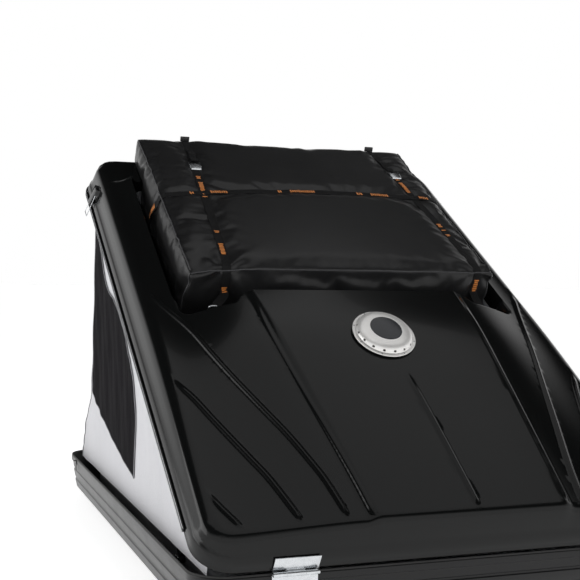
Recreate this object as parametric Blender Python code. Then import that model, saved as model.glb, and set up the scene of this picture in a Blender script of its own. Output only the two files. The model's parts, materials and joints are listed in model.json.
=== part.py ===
"""Hinged-lid roof box: rigid base tray, ribbed wedge lid, fabric walls, roof vent and a strapped cargo bag.

Lengths are in metres, +Z up, +Y to the rear. The lid hinges at its front edge and stands open.
"""
import math

import bmesh
import bpy
from mathutils import Matrix, Vector

# --- overall sizes, measured from the hinge axis unless a comment says otherwise
WIDTH = 1.40
LENGTH = 2.00
OPEN_ANGLE = math.radians(31.83)
CORNER_R = 0.10
CORNER_STEPS = 4
WALL = 0.005
GAP = 0.0003
RIM_STANDOFF = 0.004
HINGE_TO_SHELL = 0.012

# --- base tray and its rails
BASE_DEPTH = 0.130
BASE_TAPER = 0.020
RAIL_HEIGHT = 0.030
RAIL_WIDTH = 0.050
RAIL_LENGTH = 1.80
RAIL_SPACING = 0.90
RAIL_WALL = 0.003
BOLT_R = 0.004
BOLTS_PER_RAIL = 2
MATTRESS_THICK = 0.065
MATTRESS_SIDE_GAP = 0.085
MATTRESS_LIFT = 0.008
SEAL_TOP = 0.0010
SEAL_INSET = (0.001, 0.004)

# --- lid shell
SHOULDER_INSET = 0.035
SHOULDER_REAR_H = 0.125
SHOULDER_FRONT_H = 0.090
PANEL_FRONT_H = 0.110
PANEL_SLOPE = 0.140
PANEL_MAX_H = 0.215
PANEL_HALF_FRONT = 0.285
PANEL_HALF_REAR = 0.350
PANEL_STEP = 0.012
POCKET_FRONT = 0.93
POCKET_REAR = 1.80
POCKET_HALF = 0.575
POCKET_DRAFT = 0.010
POCKET_RAMP = 0.050
POCKET_FLOOR = 0.045
TRIM_THICK = 0.004
TRIM_HEIGHT = 0.014
TRIM_FRONT = 0.16

# --- roof vent, heights above the lid skin
VENT_U = 0.708
VENT_R = 0.098
VENT_HOLE_R = 0.068
DUCT_R = 0.066
DUCT_DEPTH = 0.035
DOME_R = 0.0895
DOME_H = 0.0265
DOME_FLAT_R = 0.0515
SOLAR_R = 0.049
FAN_R = 0.0565
FAN_BLADES = 5
DUCT_SPOKES = 3
DOME_BEND = [(0.0740, 0.0225), (0.0845, 0.0165)]
DOME_EDGE_H = 0.0090
DOME_POST = (0.078, 0.0172)

# --- cargo bag and its straps
BAG_FRONT = 1.040
BAG_REAR = 1.955
BAG_HALF = 0.536
BAG_TOP = 0.230
STRAP_WIDTH = 0.028
STRAP_THICK = 0.0016
# sideways place of each long strap at the bag's rear edge, at its front edge and at the front staple
STRAP_ENDS = {"left": (-0.350, -0.405, -0.440), "right": (0.400, 0.478, 0.485)}
# place along the lid of the cross strap's two staples, and of where it comes over the bag's left and right edge
CROSS_ENDS = {"left": (1.575, 1.500), "right": (1.560, 1.540)}
BUCKLE_U = 1.715
CLEAR = 0.0008
# the bag's outline from its rear face over the top to its front face, as (u, w)
BAG_OVER = [(BAG_REAR, BAG_TOP - 0.020), (BAG_REAR - 0.020, BAG_TOP), (BAG_FRONT + 0.014, BAG_TOP),
            (BAG_FRONT, BAG_TOP - 0.014), (BAG_FRONT, 0.110)]
# staples that the strap ends hook on: outer and inner half width, bar and half thickness
STAPLE = {"outer": 0.020, "inner": 0.0165, "bar": 0.0035, "half": 0.003}
ANCHOR_FRONT = (0.985, POCKET_FLOOR + 0.030)
ANCHOR_REAR = (1.9935, 0.060)
ANCHOR_REAR_DEPTH = 0.006
CROSS_SPLAY = 0.006
CROSS_END_H = POCKET_FLOOR + 0.0285
BUCKLE = {"half": 0.0205, "inside": 0.0185, "high": 0.014, "floor": 0.002, "front": -0.016, "rear": 0.018,
          "pin": (0.006, 0.009), "pin_r": 0.0018, "lever_half": 0.0178}

# --- hinges, struts and latches
HINGE_X = 0.45
HINGE_LENGTH = 0.12
BARREL_R = 0.006
PIN_R = 0.0028
PIN_PLAY = 0.0004
STRUT_X = 0.630
STRUT_BASE = (0.42, -0.055)
STRUT_LID = (0.90, 0.030)
STRUT_TUBE_R = 0.010
STRUT_ROD_R = 0.004
STRUT_TUBE_LENGTH = 0.30
STRUT_ROD_LENGTH = 0.38
FOOT_START = 0.013
FOOT_REACH = 0.024
LATCH_U = 1.80
LATCH_W = 0.055

# --- fabric walls
FABRIC_X = 0.655
FABRIC = 0.003
FABRIC_TUCK = 0.010
FABRIC_FRONT = 0.075
FABRIC_HEAD = 1.945
# rear edge of the side walls as (y, z): it hangs straight down and flares out to the base
FABRIC_FLARE = [(1.905, -FABRIC_TUCK), (1.830, 0.155), (1.735, 0.262), (1.722, 0.360), (1.715, 0.500),
                (1.680, 0.850)]
WINDOW = [(0.912, 0.078), (1.235, 0.135), (1.526, 0.208), (1.690, 0.272), (1.705, 0.420), (1.695, 0.620),
          (1.655, 0.900), (1.455, 0.690), (1.227, 0.600), (1.086, 0.504), (1.001, 0.435), (0.949, 0.331),
          (0.921, 0.230)]
DOOR_HALF = 0.42
DOOR_SPAN = (0.360, 0.930)

HALF = WIDTH / 2
SHOULDER_HALF = HALF - SHOULDER_INSET
SHOULDER_FRONT = HINGE_TO_SHELL + SHOULDER_INSET
SHOULDER_REAR = LENGTH - SHOULDER_INSET
STAND = BASE_DEPTH + RIM_STANDOFF + RAIL_HEIGHT + GAP
SIDES = {"left": -1, "right": 1}

COLOURS = {
    "black_gloss": ((0.012, 0.012, 0.013), 0.12, 0.0),
    "black_plastic": ((0.015, 0.015, 0.016), 0.45, 0.0),
    "aluminium": ((0.62, 0.63, 0.64), 0.35, 0.9),
    "stainless": ((0.60, 0.57, 0.54), 0.28, 1.0),
    "steel": ((0.42, 0.43, 0.44), 0.35, 1.0),
    "rubber": ((0.020, 0.020, 0.020), 0.8, 0.0),
    "solar": ((0.015, 0.018, 0.025), 0.2, 0.0),
    "tarpaulin": ((0.030, 0.030, 0.032), 0.45, 0.0),
    "webbing": ((0.018, 0.018, 0.019), 0.85, 0.0),
    "canvas": ((0.66, 0.66, 0.69), 0.9, 0.0),
    "window": ((0.030, 0.028, 0.032), 0.7, 0.0),
    "foam": ((0.35, 0.36, 0.38), 0.9, 0.0),
}


def clear_scene():
    for obj in list(bpy.data.objects):
        bpy.data.objects.remove(obj, do_unlink=True)


def material(name):
    mat = bpy.data.materials.get(name)
    if mat is None:
        colour, roughness, metallic = COLOURS[name]
        mat = bpy.data.materials.new(name)
        mat.use_nodes = True
        shader = mat.node_tree.nodes["Principled BSDF"]
        shader.inputs["Base Color"].default_value = (*colour, 1.0)
        shader.inputs["Roughness"].default_value = roughness
        shader.inputs["Metallic"].default_value = metallic
    return mat


def empty(name, parent=None, location=(0, 0, 0), rotation=(0, 0, 0)):
    obj = bpy.data.objects.new(name, None)
    bpy.context.collection.objects.link(obj)
    obj.location = location
    obj.rotation_euler = rotation
    obj.parent = parent
    return obj


def finish(name, bm, finish_name, parent, smooth=False):
    """Turn a bmesh into a named object whose faces point outwards."""
    bmesh.ops.recalc_face_normals(bm, faces=bm.faces)
    mesh = bpy.data.meshes.new(name)
    bm.to_mesh(mesh)
    bm.free()
    if smooth:
        mesh.shade_smooth()
        mesh.set_sharp_from_angle(angle=math.radians(35))
    obj = bpy.data.objects.new(name, mesh)
    bpy.context.collection.objects.link(obj)
    obj.data.materials.append(material(finish_name))
    obj.parent = parent
    return obj


# --- mesh helpers

def add_box(bm, low, high):
    centre = [(a + b) / 2 for a, b in zip(low, high)]
    size = [b - a for a, b in zip(low, high)]
    matrix = Matrix.Translation(centre) @ Matrix.Diagonal((*size, 1.0))
    bmesh.ops.create_cube(bm, size=1.0, matrix=matrix)


def add_rod(bm, start, end, radius, sides=16):
    start, end = Vector(start), Vector(end)
    run = end - start
    turn = run.to_track_quat("Z", "Y").to_matrix().to_4x4()
    matrix = Matrix.Translation((start + end) / 2) @ turn
    bmesh.ops.create_cone(bm, cap_ends=True, segments=sides, radius1=radius, radius2=radius,
                          depth=run.length, matrix=matrix)


def loft(bm, rings, capped=True):
    """Join closed rings of points in order; the first and last are capped."""
    rows = [[bm.verts.new(p) for p in ring] for ring in rings]
    for a, b in zip(rows, rows[1:]):
        for i in range(len(a)):
            j = (i + 1) % len(a)
            bm.faces.new((a[i], a[j], b[j], b[i]))
    if capped:
        bm.faces.new(list(reversed(rows[0])))
        bm.faces.new(rows[-1])
    else:
        a, b = rows[-1], rows[0]
        for i in range(len(a)):
            j = (i + 1) % len(a)
            bm.faces.new((a[i], a[j], b[j], b[i]))


def turned(bm, profile, sides=32):
    """Spin a closed (radius, height) outline about Z; a radius of zero makes a pole."""
    columns = []
    for k in range(sides):
        angle = 2 * math.pi * k / sides
        columns.append([(r * math.cos(angle), r * math.sin(angle), z) for r, z in profile])
    poles = {}
    rows = []
    for column in columns:
        row = []
        for i, point in enumerate(column):
            if profile[i][0] == 0:
                if i not in poles:
                    poles[i] = bm.verts.new((0, 0, profile[i][1]))
                row.append(poles[i])
            else:
                row.append(bm.verts.new(point))
        rows.append(row)
    count = len(profile)
    for k in range(sides):
        a, b = rows[k], rows[(k + 1) % sides]
        for i in range(count):
            j = (i + 1) % count
            corners = [a[i], a[j], b[j], b[i]]
            unique = list(dict.fromkeys(corners))
            if len(unique) > 2:
                bm.faces.new(unique)


def prism(bm, outline, axis_low, axis_high):
    """Extrude a (y, z) outline along X."""
    loft(bm, [[(x, y, z) for y, z in outline] for x in (axis_low, axis_high)])


def outline(grow, height, shrink=0.0):
    """Rounded rectangle of the rim, grown outwards by grow, at one height."""
    half = HALF - shrink + grow
    front = HINGE_TO_SHELL + shrink - grow
    rear = LENGTH - shrink + grow
    radius = CORNER_R + grow
    points = []
    corners = ((half - radius, rear - radius, 0), (radius - half, rear - radius, 90),
               (radius - half, front + radius, 180), (half - radius, front + radius, 270))
    for cx, cy, start in corners:
        for k in range(CORNER_STEPS + 1):
            angle = math.radians(start + 90 * k / CORNER_STEPS)
            points.append((cx + radius * math.cos(angle), cy + radius * math.sin(angle), height))
    return points


def cut(target, name, bm, operation="DIFFERENCE"):
    """Keep a cutter as a hidden wire object and subtract it from, or join it to, the target."""
    cutter = finish(name, bm, "rubber", target.parent)
    cutter.matrix_parent_inverse = target.matrix_parent_inverse
    cutter.hide_render = True
    cutter.display_type = "WIRE"
    modifier = target.modifiers.new(name, "BOOLEAN")
    modifier.operation = operation
    modifier.solver = "EXACT"
    modifier.object = cutter
    return cutter


def smooth_step(t):
    t = max(0.0, min(1.0, t))
    return t * t * (3 - 2 * t)


# --- lid surface

def shoulder_height(u):
    return SHOULDER_FRONT_H + (SHOULDER_REAR_H - SHOULDER_FRONT_H) * smooth_step(u / POCKET_FRONT)


def panel_height(u):
    return min(PANEL_FRONT_H + PANEL_SLOPE * u, PANEL_MAX_H)


def lid_height(u, v):
    """Height of the lid skin over the rim plane at distance u from the hinge, v off the middle."""
    side = abs(v)
    low = shoulder_height(u)
    if u > POCKET_REAR - 1e-6:
        return low
    high = panel_height(u)
    panel_half = PANEL_HALF_FRONT + (PANEL_HALF_REAR - PANEL_HALF_FRONT) * u / POCKET_FRONT
    if side <= panel_half:
        return high
    spread = (SHOULDER_HALF - side) / (SHOULDER_HALF - panel_half)
    return low + (high - PANEL_STEP - low) * smooth_step(spread)


def to_rim(u, v):
    """Where a point on the shoulder outline lands on the rim outline."""
    side = abs(v)
    sign = 1 if v >= 0 else -1
    inner = SHOULDER_HALF - CORNER_R
    rear_c, front_c = SHOULDER_REAR - CORNER_R, SHOULDER_FRONT + CORNER_R
    rim_in = HALF - CORNER_R
    rim_rear, rim_front = LENGTH - CORNER_R, HINGE_TO_SHELL + CORNER_R
    if side <= inner + 1e-6 or rear_c > u > front_c:
        if side <= inner + 1e-6:
            edge = LENGTH if u > LENGTH / 2 else HINGE_TO_SHELL
            return edge, v * rim_in / inner
        return rim_front + (u - front_c) * (rim_rear - rim_front) / (rear_c - front_c), sign * HALF
    centre = rear_c if u > LENGTH / 2 else front_c
    rim_centre = rim_rear if u > LENGTH / 2 else rim_front
    angle = math.atan2(u - centre, side - inner)
    return rim_centre + CORNER_R * math.sin(angle), sign * (rim_in + CORNER_R * math.cos(angle))


def shoulder_half(u):
    """Half width of the shoulder outline at u, drawn in at the four corners."""
    past = max(u - (SHOULDER_REAR - CORNER_R), (SHOULDER_FRONT + CORNER_R) - u, 0.0)
    return SHOULDER_HALF - CORNER_R + math.sqrt(max(CORNER_R ** 2 - past ** 2, 0.0))


def lid_rows():
    turns = [math.pi / 2 * k / CORNER_STEPS for k in range(CORNER_STEPS, -1, -1)]
    corner = [CORNER_R * math.sin(turn) for turn in turns]
    front = [SHOULDER_FRONT + CORNER_R - c for c in corner]
    rear = [SHOULDER_REAR - CORNER_R + c for c in reversed(corner)]
    straight = (PANEL_MAX_H - PANEL_FRONT_H) / PANEL_SLOPE
    middle = [0.30, 0.45, straight, POCKET_FRONT - POCKET_RAMP, POCKET_FRONT + POCKET_RAMP]
    middle += [1.2, 1.5, POCKET_REAR - POCKET_DRAFT, POCKET_REAR]
    return front + middle + rear


def lid_columns():
    half = [0.15, PANEL_HALF_FRONT, PANEL_HALF_REAR, 0.46, POCKET_HALF - POCKET_DRAFT, POCKET_HALF,
            SHOULDER_HALF]
    return [-v for v in reversed(half)] + [0.0] + half


def make_lid_shell(lid):
    rows, columns = lid_rows(), lid_columns()
    bm = bmesh.new()
    grid = []
    for u in rows:
        squeeze = shoulder_half(u) / SHOULDER_HALF
        line = []
        for v in columns:
            inside = POCKET_FRONT < u < POCKET_REAR - 1e-6 and abs(v) < POCKET_HALF - 1e-6
            w = POCKET_FLOOR if inside else lid_height(u, v)
            line.append(bm.verts.new((v * squeeze, u, w)))
        grid.append(line)
    for a, b in zip(grid, grid[1:]):
        for i in range(len(a) - 1):
            bm.faces.new((a[i], a[i + 1], b[i + 1], b[i]))
    edge = [e for e in bm.edges if e.is_boundary]
    skirt = bmesh.ops.extrude_edge_only(bm, edges=edge)["geom"]
    for vert in [g for g in skirt if isinstance(g, bmesh.types.BMVert)]:
        u, v = to_rim(vert.co.y, vert.co.x)
        vert.co = (v, u, RIM_STANDOFF)
    shell = finish("lid_shell", bm, "black_gloss", lid)
    thicken = shell.modifiers.new("wall", "SOLIDIFY")
    thicken.thickness = WALL
    thicken.offset = -1.0
    thicken.use_even_offset = True
    thicken.thickness_clamp = 1.0
    hole = bmesh.new()
    turn = Matrix.Rotation(math.atan(PANEL_SLOPE), 4, "X")
    matrix = Matrix.Translation((0, VENT_U, panel_height(VENT_U))) @ turn
    bmesh.ops.create_cone(hole, cap_ends=True, segments=32, radius1=VENT_HOLE_R, radius2=VENT_HOLE_R,
                          depth=0.08, matrix=matrix)
    cut(shell, "vent_hole_cutter", hole)


def make_lid_trim(lid):
    """Bright strip round the sides and rear of the lid's rim."""
    paths = []
    for grow in (GAP, GAP + TRIM_THICK):
        rear = [(x, y) for x, y, _ in outline(grow, 0) if y > LENGTH / 2]
        paths.append([(HALF + grow, TRIM_FRONT)] + rear + [(-HALF - grow, TRIM_FRONT)])
    low, high = RIM_STANDOFF + GAP, RIM_STANDOFF + GAP + TRIM_HEIGHT
    bm = bmesh.new()
    rings = []
    for (ax, ay), (bx, by) in zip(*paths):
        rings.append([(ax, ay, low), (bx, by, low), (bx, by, high), (ax, ay, high)])
    loft(bm, rings)
    finish("lid_trim", bm, "aluminium", lid)


# --- base

def make_base_shell(base):
    bm = bmesh.new()
    top, bottom = -RIM_STANDOFF, -RIM_STANDOFF - BASE_DEPTH
    loft(bm, [outline(0, bottom, BASE_TAPER), outline(0, top), outline(-WALL, top),
              outline(-WALL, bottom + WALL, BASE_TAPER)])
    tray = finish("base_shell", bm, "black_gloss", base)
    drill = bmesh.new()
    for x, y in bolt_places():
        add_rod(drill, (x, y, bottom - 0.01), (x, y, bottom + 0.02), BOLT_R + PIN_PLAY, 12)
    cut(tray, "base_bolt_drill", drill)


def bolt_places():
    start = LENGTH / 2 - RAIL_LENGTH / 2
    pitch = RAIL_LENGTH / BOLTS_PER_RAIL
    rows = [start + pitch * (k + 0.5) for k in range(BOLTS_PER_RAIL)]
    return [(side * RAIL_SPACING / 2, y) for side in (-1, 1) for y in rows]


def make_rails(base):
    top = -RIM_STANDOFF - BASE_DEPTH - GAP
    start = LENGTH / 2 - RAIL_LENGTH / 2
    for side, sign in SIDES.items():
        x = sign * RAIL_SPACING / 2
        half = RAIL_WIDTH / 2
        outer = [(x - half, top - RAIL_HEIGHT), (x + half, top - RAIL_HEIGHT), (x + half, top), (x - half, top)]
        t = RAIL_WALL
        inner = [(x - half + t, top - RAIL_HEIGHT + t), (x + half - t, top - RAIL_HEIGHT + t),
                 (x + half - t, top - t), (x - half + t, top - t)]
        bm = bmesh.new()
        rings = [[(px, y, pz) for px, pz in ring]
                 for ring, y in ((outer, start), (outer, start + RAIL_LENGTH),
                                 (inner, start + RAIL_LENGTH), (inner, start))]
        loft(bm, rings, capped=False)
        rail = finish(f"rail_{side}", bm, "aluminium", base)
        drill = bmesh.new()
        for bx, by in bolt_places():
            if bx * sign > 0:
                add_rod(drill, (bx, by, top - 2 * t), (bx, by, top + t), BOLT_R + PIN_PLAY, 12)
        cut(rail, f"rail_drill_{side}", drill)


def make_bolts(base):
    bottom = -RIM_STANDOFF - BASE_DEPTH
    floor = bottom + WALL
    tip = bottom - GAP - RAIL_WALL - 0.006
    profile = [(0, tip), (BOLT_R, tip), (BOLT_R, floor + GAP), (0.009, floor + GAP), (0.008, floor + 0.005),
               (0, floor + 0.006)]
    for number, (x, y) in enumerate(bolt_places(), 1):
        bm = bmesh.new()
        turned(bm, profile, 12)
        bmesh.ops.translate(bm, verts=bm.verts, vec=(x, y, 0))
        finish(f"rail_bolt_{number}", bm, "steel", base)


def make_seal(base):
    low = -RIM_STANDOFF + GAP
    outer, inner = SEAL_INSET
    bm = bmesh.new()
    loft(bm, [outline(-inner, low), outline(-outer, low), outline(-outer, SEAL_TOP), outline(-inner, SEAL_TOP)],
         capped=False)
    finish("base_seal", bm, "rubber", base)


def make_mattress(base):
    bottom = -RIM_STANDOFF - BASE_DEPTH + WALL + MATTRESS_LIFT
    bm = bmesh.new()
    half = HALF - MATTRESS_SIDE_GAP - BASE_TAPER
    add_box(bm, (-half, HINGE_TO_SHELL + MATTRESS_SIDE_GAP, bottom),
            (half, LENGTH - MATTRESS_SIDE_GAP - BASE_TAPER, bottom + MATTRESS_THICK))
    finish("mattress", bm, "foam", base)


# --- hinges at the front edge

def barrel(x0, x1):
    """A tube about the hinge axis from x0 to x1."""
    bore = PIN_R + PIN_PLAY
    bm = bmesh.new()
    turned(bm, [(bore, 0), (BARREL_R, 0), (BARREL_R, x1 - x0), (bore, x1 - x0)], 20)
    bmesh.ops.rotate(bm, verts=bm.verts, cent=(0, 0, 0), matrix=Matrix.Rotation(math.pi / 2, 3, "Y"))
    bmesh.ops.translate(bm, verts=bm.verts, vec=(x0, 0, 0))
    return bm


def make_leaf(name, parent, x, spans, upright):
    """A leaf plate with its barrels; upright is 1 for the lid's leaf and -1 for the base's."""
    low, high = sorted((upright * 0.0015, upright * 0.045))
    near, far = HINGE_TO_SHELL - 0.0035, HINGE_TO_SHELL - 0.0005
    plate = bmesh.new()
    add_box(plate, (x - HINGE_LENGTH / 2, near, low), (x + HINGE_LENGTH / 2, far, high))
    leaf = finish(name, plate, "steel", parent)
    web_low, web_high = sorted((upright * 0.0038, upright * 0.0055))
    for number, (a, b) in enumerate(spans):
        cut(leaf, f"{name}_barrel_{number}", barrel(x + a, x + b), "UNION")
        web = bmesh.new()
        add_box(web, (x + a + GAP, 0.0, web_low), (x + b - GAP, far - 0.001, web_high))
        cut(leaf, f"{name}_web_{number}", web, "UNION")


def make_hinges(base, lid):
    half, middle = HINGE_LENGTH / 2, HINGE_LENGTH / 5
    for side, sign in SIDES.items():
        x = sign * HINGE_X
        outer_spans = ((-half, -middle), (middle, half))
        make_leaf(f"hinge_base_leaf_{side}", base, x, outer_spans, -1)
        make_leaf(f"hinge_lid_leaf_{side}", lid, x, ((GAP - middle, middle - GAP),), 1)
        bm = bmesh.new()
        add_rod(bm, (x - half - 0.002, 0, 0), (x + half + 0.002, 0, 0), PIN_R, 16)
        finish(f"hinge_pin_{side}", bm, "steel", base)


# --- gas struts, rested at the open lid

def lid_point(u, w):
    c, s = math.cos(OPEN_ANGLE), math.sin(OPEN_ANGLE)
    return u * c - w * s, u * s + w * c


def make_struts(base, lid):
    by, bz = STRUT_BASE
    ly, lz = lid_point(*STRUT_LID)
    rise = math.atan2(lz - bz, ly - by)
    reach = math.hypot(ly - by, lz - bz)
    for side, sign in SIDES.items():
        x = sign * STRUT_X
        plate_near = sign * (STRUT_X + 0.0145)
        plate_far = sign * (STRUT_X + 0.0175)
        axis = empty(f"strut_axis_{side}", base, (x, by, bz), (rise, 0, 0))
        tube = bmesh.new()
        bore, deep = STRUT_ROD_R + 0.0008, 0.030
        turned(tube, [(0, 0.011), (STRUT_TUBE_R, 0.011), (STRUT_TUBE_R, STRUT_TUBE_LENGTH),
                      (bore, STRUT_TUBE_LENGTH), (bore, deep), (0, deep)], 16)
        bmesh.ops.rotate(tube, verts=tube.verts, cent=(0, 0, 0), matrix=Matrix.Rotation(-math.pi / 2, 3, "X"))
        body = finish(f"strut_tube_{side}", tube, "black_plastic", axis)
        eye = bmesh.new()
        add_rod(eye, (-0.008, 0, 0), (0.008, 0, 0), 0.012)
        cut(body, f"strut_eye_{side}", eye, "UNION")
        eye_bore = bmesh.new()
        add_rod(eye_bore, (-0.02, 0, 0), (0.02, 0, 0), STRUT_ROD_R + PIN_PLAY)
        cut(body, f"strut_eye_bore_{side}", eye_bore)

        rod = bmesh.new()
        add_rod(rod, (0, reach - STRUT_ROD_LENGTH, 0), (0, reach - 0.004, 0), STRUT_ROD_R)
        piston = finish(f"strut_rod_{side}", rod, "steel", axis)
        knob = bmesh.new()
        add_rod(knob, (-0.008, reach, 0), (0.008, reach, 0), 0.008)
        cut(piston, f"strut_knob_{side}", knob, "UNION")
        stud = bmesh.new()
        add_rod(stud, (sign * 0.006, reach, 0), (sign * (0.0145 - GAP), reach, 0), 0.0045)
        cut(piston, f"strut_stud_{side}", stud, "UNION")

        lean = BASE_TAPER * (FOOT_REACH - bz) / (BASE_DEPTH - WALL)
        make_strut_bracket(f"strut_base_bracket_{side}", base, (plate_near, plate_far), (by, bz),
                           sign * (HALF - WALL - lean - 0.001), -1)
        lean = SHOULDER_INSET * (STRUT_LID[1] + FOOT_REACH) / shoulder_height(STRUT_LID[0])
        make_strut_bracket(f"strut_lid_bracket_{side}", lid, (plate_near, plate_far), STRUT_LID,
                           sign * (HALF - WALL - lean - 0.0015), 1)
        pin = bmesh.new()
        add_rod(pin, (sign * (STRUT_X - 0.009), by, bz), (sign * (STRUT_X + 0.016), by, bz), STRUT_ROD_R)
        cut(bpy.data.objects[f"strut_base_bracket_{side}"], f"strut_pin_{side}", pin, "UNION")


def make_strut_bracket(name, parent, plate, place, wall_x, upright):
    """A plate beside the strut's eye with a foot that reaches out to the shell's wall."""
    y, z = place
    near, far = sorted(plate)
    bm = bmesh.new()
    foot_low, foot_high = sorted((z + upright * FOOT_START, z + upright * FOOT_REACH))
    add_box(bm, (near, y - 0.02, min(z - 0.012, foot_low)), (far, y + 0.02, max(z + 0.012, foot_high)))
    bracket = finish(name, bm, "steel", parent)
    arm = bmesh.new()
    a, b = sorted(((near + far) / 2, wall_x))
    add_box(arm, (a, y - 0.018, foot_low + 0.001), (b, y + 0.018, foot_high - 0.001))
    cut(bracket, f"{name}_foot", arm, "UNION")


# --- roof vent

def make_vent(lid):
    seat = (0, VENT_U, panel_height(VENT_U))
    vent = empty("vent_axis", lid, seat, (math.atan(PANEL_SLOPE), 0, 0))
    bm = bmesh.new()
    turned(bm, [(VENT_HOLE_R + 0.004, 0.0004), (VENT_R - 0.003, 0.0004), (VENT_R - 0.003, 0.0024),
                (VENT_HOLE_R + 0.004, 0.0024)])
    finish("vent_gasket", bm, "rubber", vent)

    bm = bmesh.new()
    turned(bm, [(DUCT_R + 0.001, 0.0028), (VENT_R, 0.0028), (VENT_R, 0.0048), (VENT_R - 0.004, 0.006),
                (DUCT_R + 0.001, 0.006)])
    finish("vent_flange", bm, "stainless", vent, True)

    bm = bmesh.new()
    turned(bm, [(DUCT_R - 0.003, -DUCT_DEPTH), (DUCT_R, -DUCT_DEPTH), (DUCT_R, 0.006), (DUCT_R - 0.003, 0.006)])
    duct = finish("vent_duct", bm, "black_plastic", vent)
    for k in range(DUCT_SPOKES):
        spoke = bmesh.new()
        angle = 2 * math.pi * k / DUCT_SPOKES
        add_rod(spoke, (0.010 * math.cos(angle), 0.010 * math.sin(angle), 0.004 - DUCT_DEPTH),
                ((DUCT_R - 0.002) * math.cos(angle), (DUCT_R - 0.002) * math.sin(angle), 0.004 - DUCT_DEPTH), 0.003, 8)
        cut(duct, f"vent_spoke_{k}", spoke, "UNION")
    can = bmesh.new()
    turned(can, [(0, -DUCT_DEPTH), (0.018, -DUCT_DEPTH), (0.018, -0.016), (0, -0.016)], 20)
    cut(duct, "vent_motor_can", can, "UNION")

    bm = bmesh.new()
    turned(bm, [(0, -0.0155), (0.012, -0.0155), (0.012, -0.004), (0, -0.004)], 20)
    fan = finish("vent_fan", bm, "black_plastic", vent)
    for k in range(FAN_BLADES):
        blade = bmesh.new()
        add_box(blade, (0.008, -0.012, -0.0006), (FAN_R, 0.012, 0.0006))
        pitch = Matrix.Rotation(math.radians(18), 3, "X")
        bmesh.ops.rotate(blade, verts=blade.verts, cent=(0, 0, 0), matrix=pitch)
        around = Matrix.Rotation(2 * math.pi * k / FAN_BLADES, 3, "Z")
        bmesh.ops.rotate(blade, verts=blade.verts, cent=(0, 0, 0), matrix=around)
        bmesh.ops.translate(blade, verts=blade.verts, vec=(0, 0, -0.0098))
        cut(fan, f"fan_blade_{k}", blade, "UNION")

    sheet = 0.0015
    bm = bmesh.new()
    (r1, h1), (r2, h2) = DOME_BEND
    turned(bm, [(0, DOME_H), (DOME_FLAT_R, DOME_H), (r1, h1), (r2, h2), (DOME_R, DOME_EDGE_H),
                (DOME_R - sheet, DOME_EDGE_H - 0.0005), (r2 - 0.001, h2 - sheet), (r1 - 0.0005, h1 - sheet),
                (DOME_FLAT_R, DOME_H - sheet), (0, DOME_H - sheet)][::-1], 40)
    dome = finish("vent_dome", bm, "stainless", vent, True)
    for k in range(3):
        post = bmesh.new()
        angle = 2 * math.pi * (k + 0.5) / 3
        x, y = DOME_POST[0] * math.cos(angle), DOME_POST[0] * math.sin(angle)
        add_rod(post, (x, y, 0.0063), (x, y, DOME_POST[1]), 0.004, 10)
        cut(dome, f"dome_post_{k}", post, "UNION")

    bm = bmesh.new()
    turned(bm, [(0, DOME_H + GAP), (SOLAR_R, DOME_H + GAP), (SOLAR_R, DOME_H + 0.002), (0, DOME_H + 0.003)])
    finish("solar_panel", bm, "solar", vent)


# --- cargo bag, straps and buckles

def make_bag(lid):
    """Soft bag that fills the pocket and laps over the land behind it."""
    floor = POCKET_FLOOR + 0.0015
    land = SHOULDER_REAR_H + 0.0015
    step = POCKET_REAR - POCKET_DRAFT - 0.006
    side = [(BAG_FRONT + 0.010, floor), (step, floor), (step, land), (BAG_REAR - 0.01, land), (BAG_REAR, land + 0.01)]
    side += BAG_OVER[:-1] + [(BAG_FRONT, floor + 0.01)]
    bm = bmesh.new()
    prism(bm, side, -BAG_HALF, BAG_HALF)
    finish("cargo_bag", bm, "tarpaulin", lid)


def make_band(name, parent, path, across):
    """Webbing: a flat strip along path, STRAP_THICK thick on the left-hand side of its run."""
    across = Vector(across).normalized() * STRAP_WIDTH / 2
    points = [Vector(p) for p in path]
    runs = [(b - a).normalized() for a, b in zip(points, points[1:])]
    rings = []
    for i, point in enumerate(points):
        before = runs[max(i - 1, 0)]
        after = runs[min(i, len(runs) - 1)]
        normals = [across.cross(run).normalized() for run in (before, after)]
        lift = (normals[0] + normals[1]).normalized()
        lift *= STRAP_THICK / max(lift.dot(normals[0]), 0.5)
        rings.append([point - across, point + across, point + across + lift, point - across + lift])
    bm = bmesh.new()
    loft(bm, rings)
    return finish(name, bm, "webbing", parent)


def offset(points, distance):
    """A polyline moved sideways, to the right of its run, with mitred corners."""
    points = [Vector(p) for p in points]
    runs = [(b - a).normalized() for a, b in zip(points, points[1:])]
    moved = []
    for i, point in enumerate(points):
        before, after = runs[max(i - 1, 0)], runs[min(i, len(runs) - 1)]
        normals = [Vector((run.y, -run.x)) for run in (before, after)]
        step = (normals[0] + normals[1]).normalized()
        moved.append(tuple(point + step * distance / step.dot(normals[0])))
    return moved


def strap_v(side, u):
    """Sideways place of a long strap, which splays towards the front."""
    rear, front, _ = STRAP_ENDS[side]
    return rear + (front - rear) * (BAG_REAR - u) / (BAG_REAR - BAG_FRONT)


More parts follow.
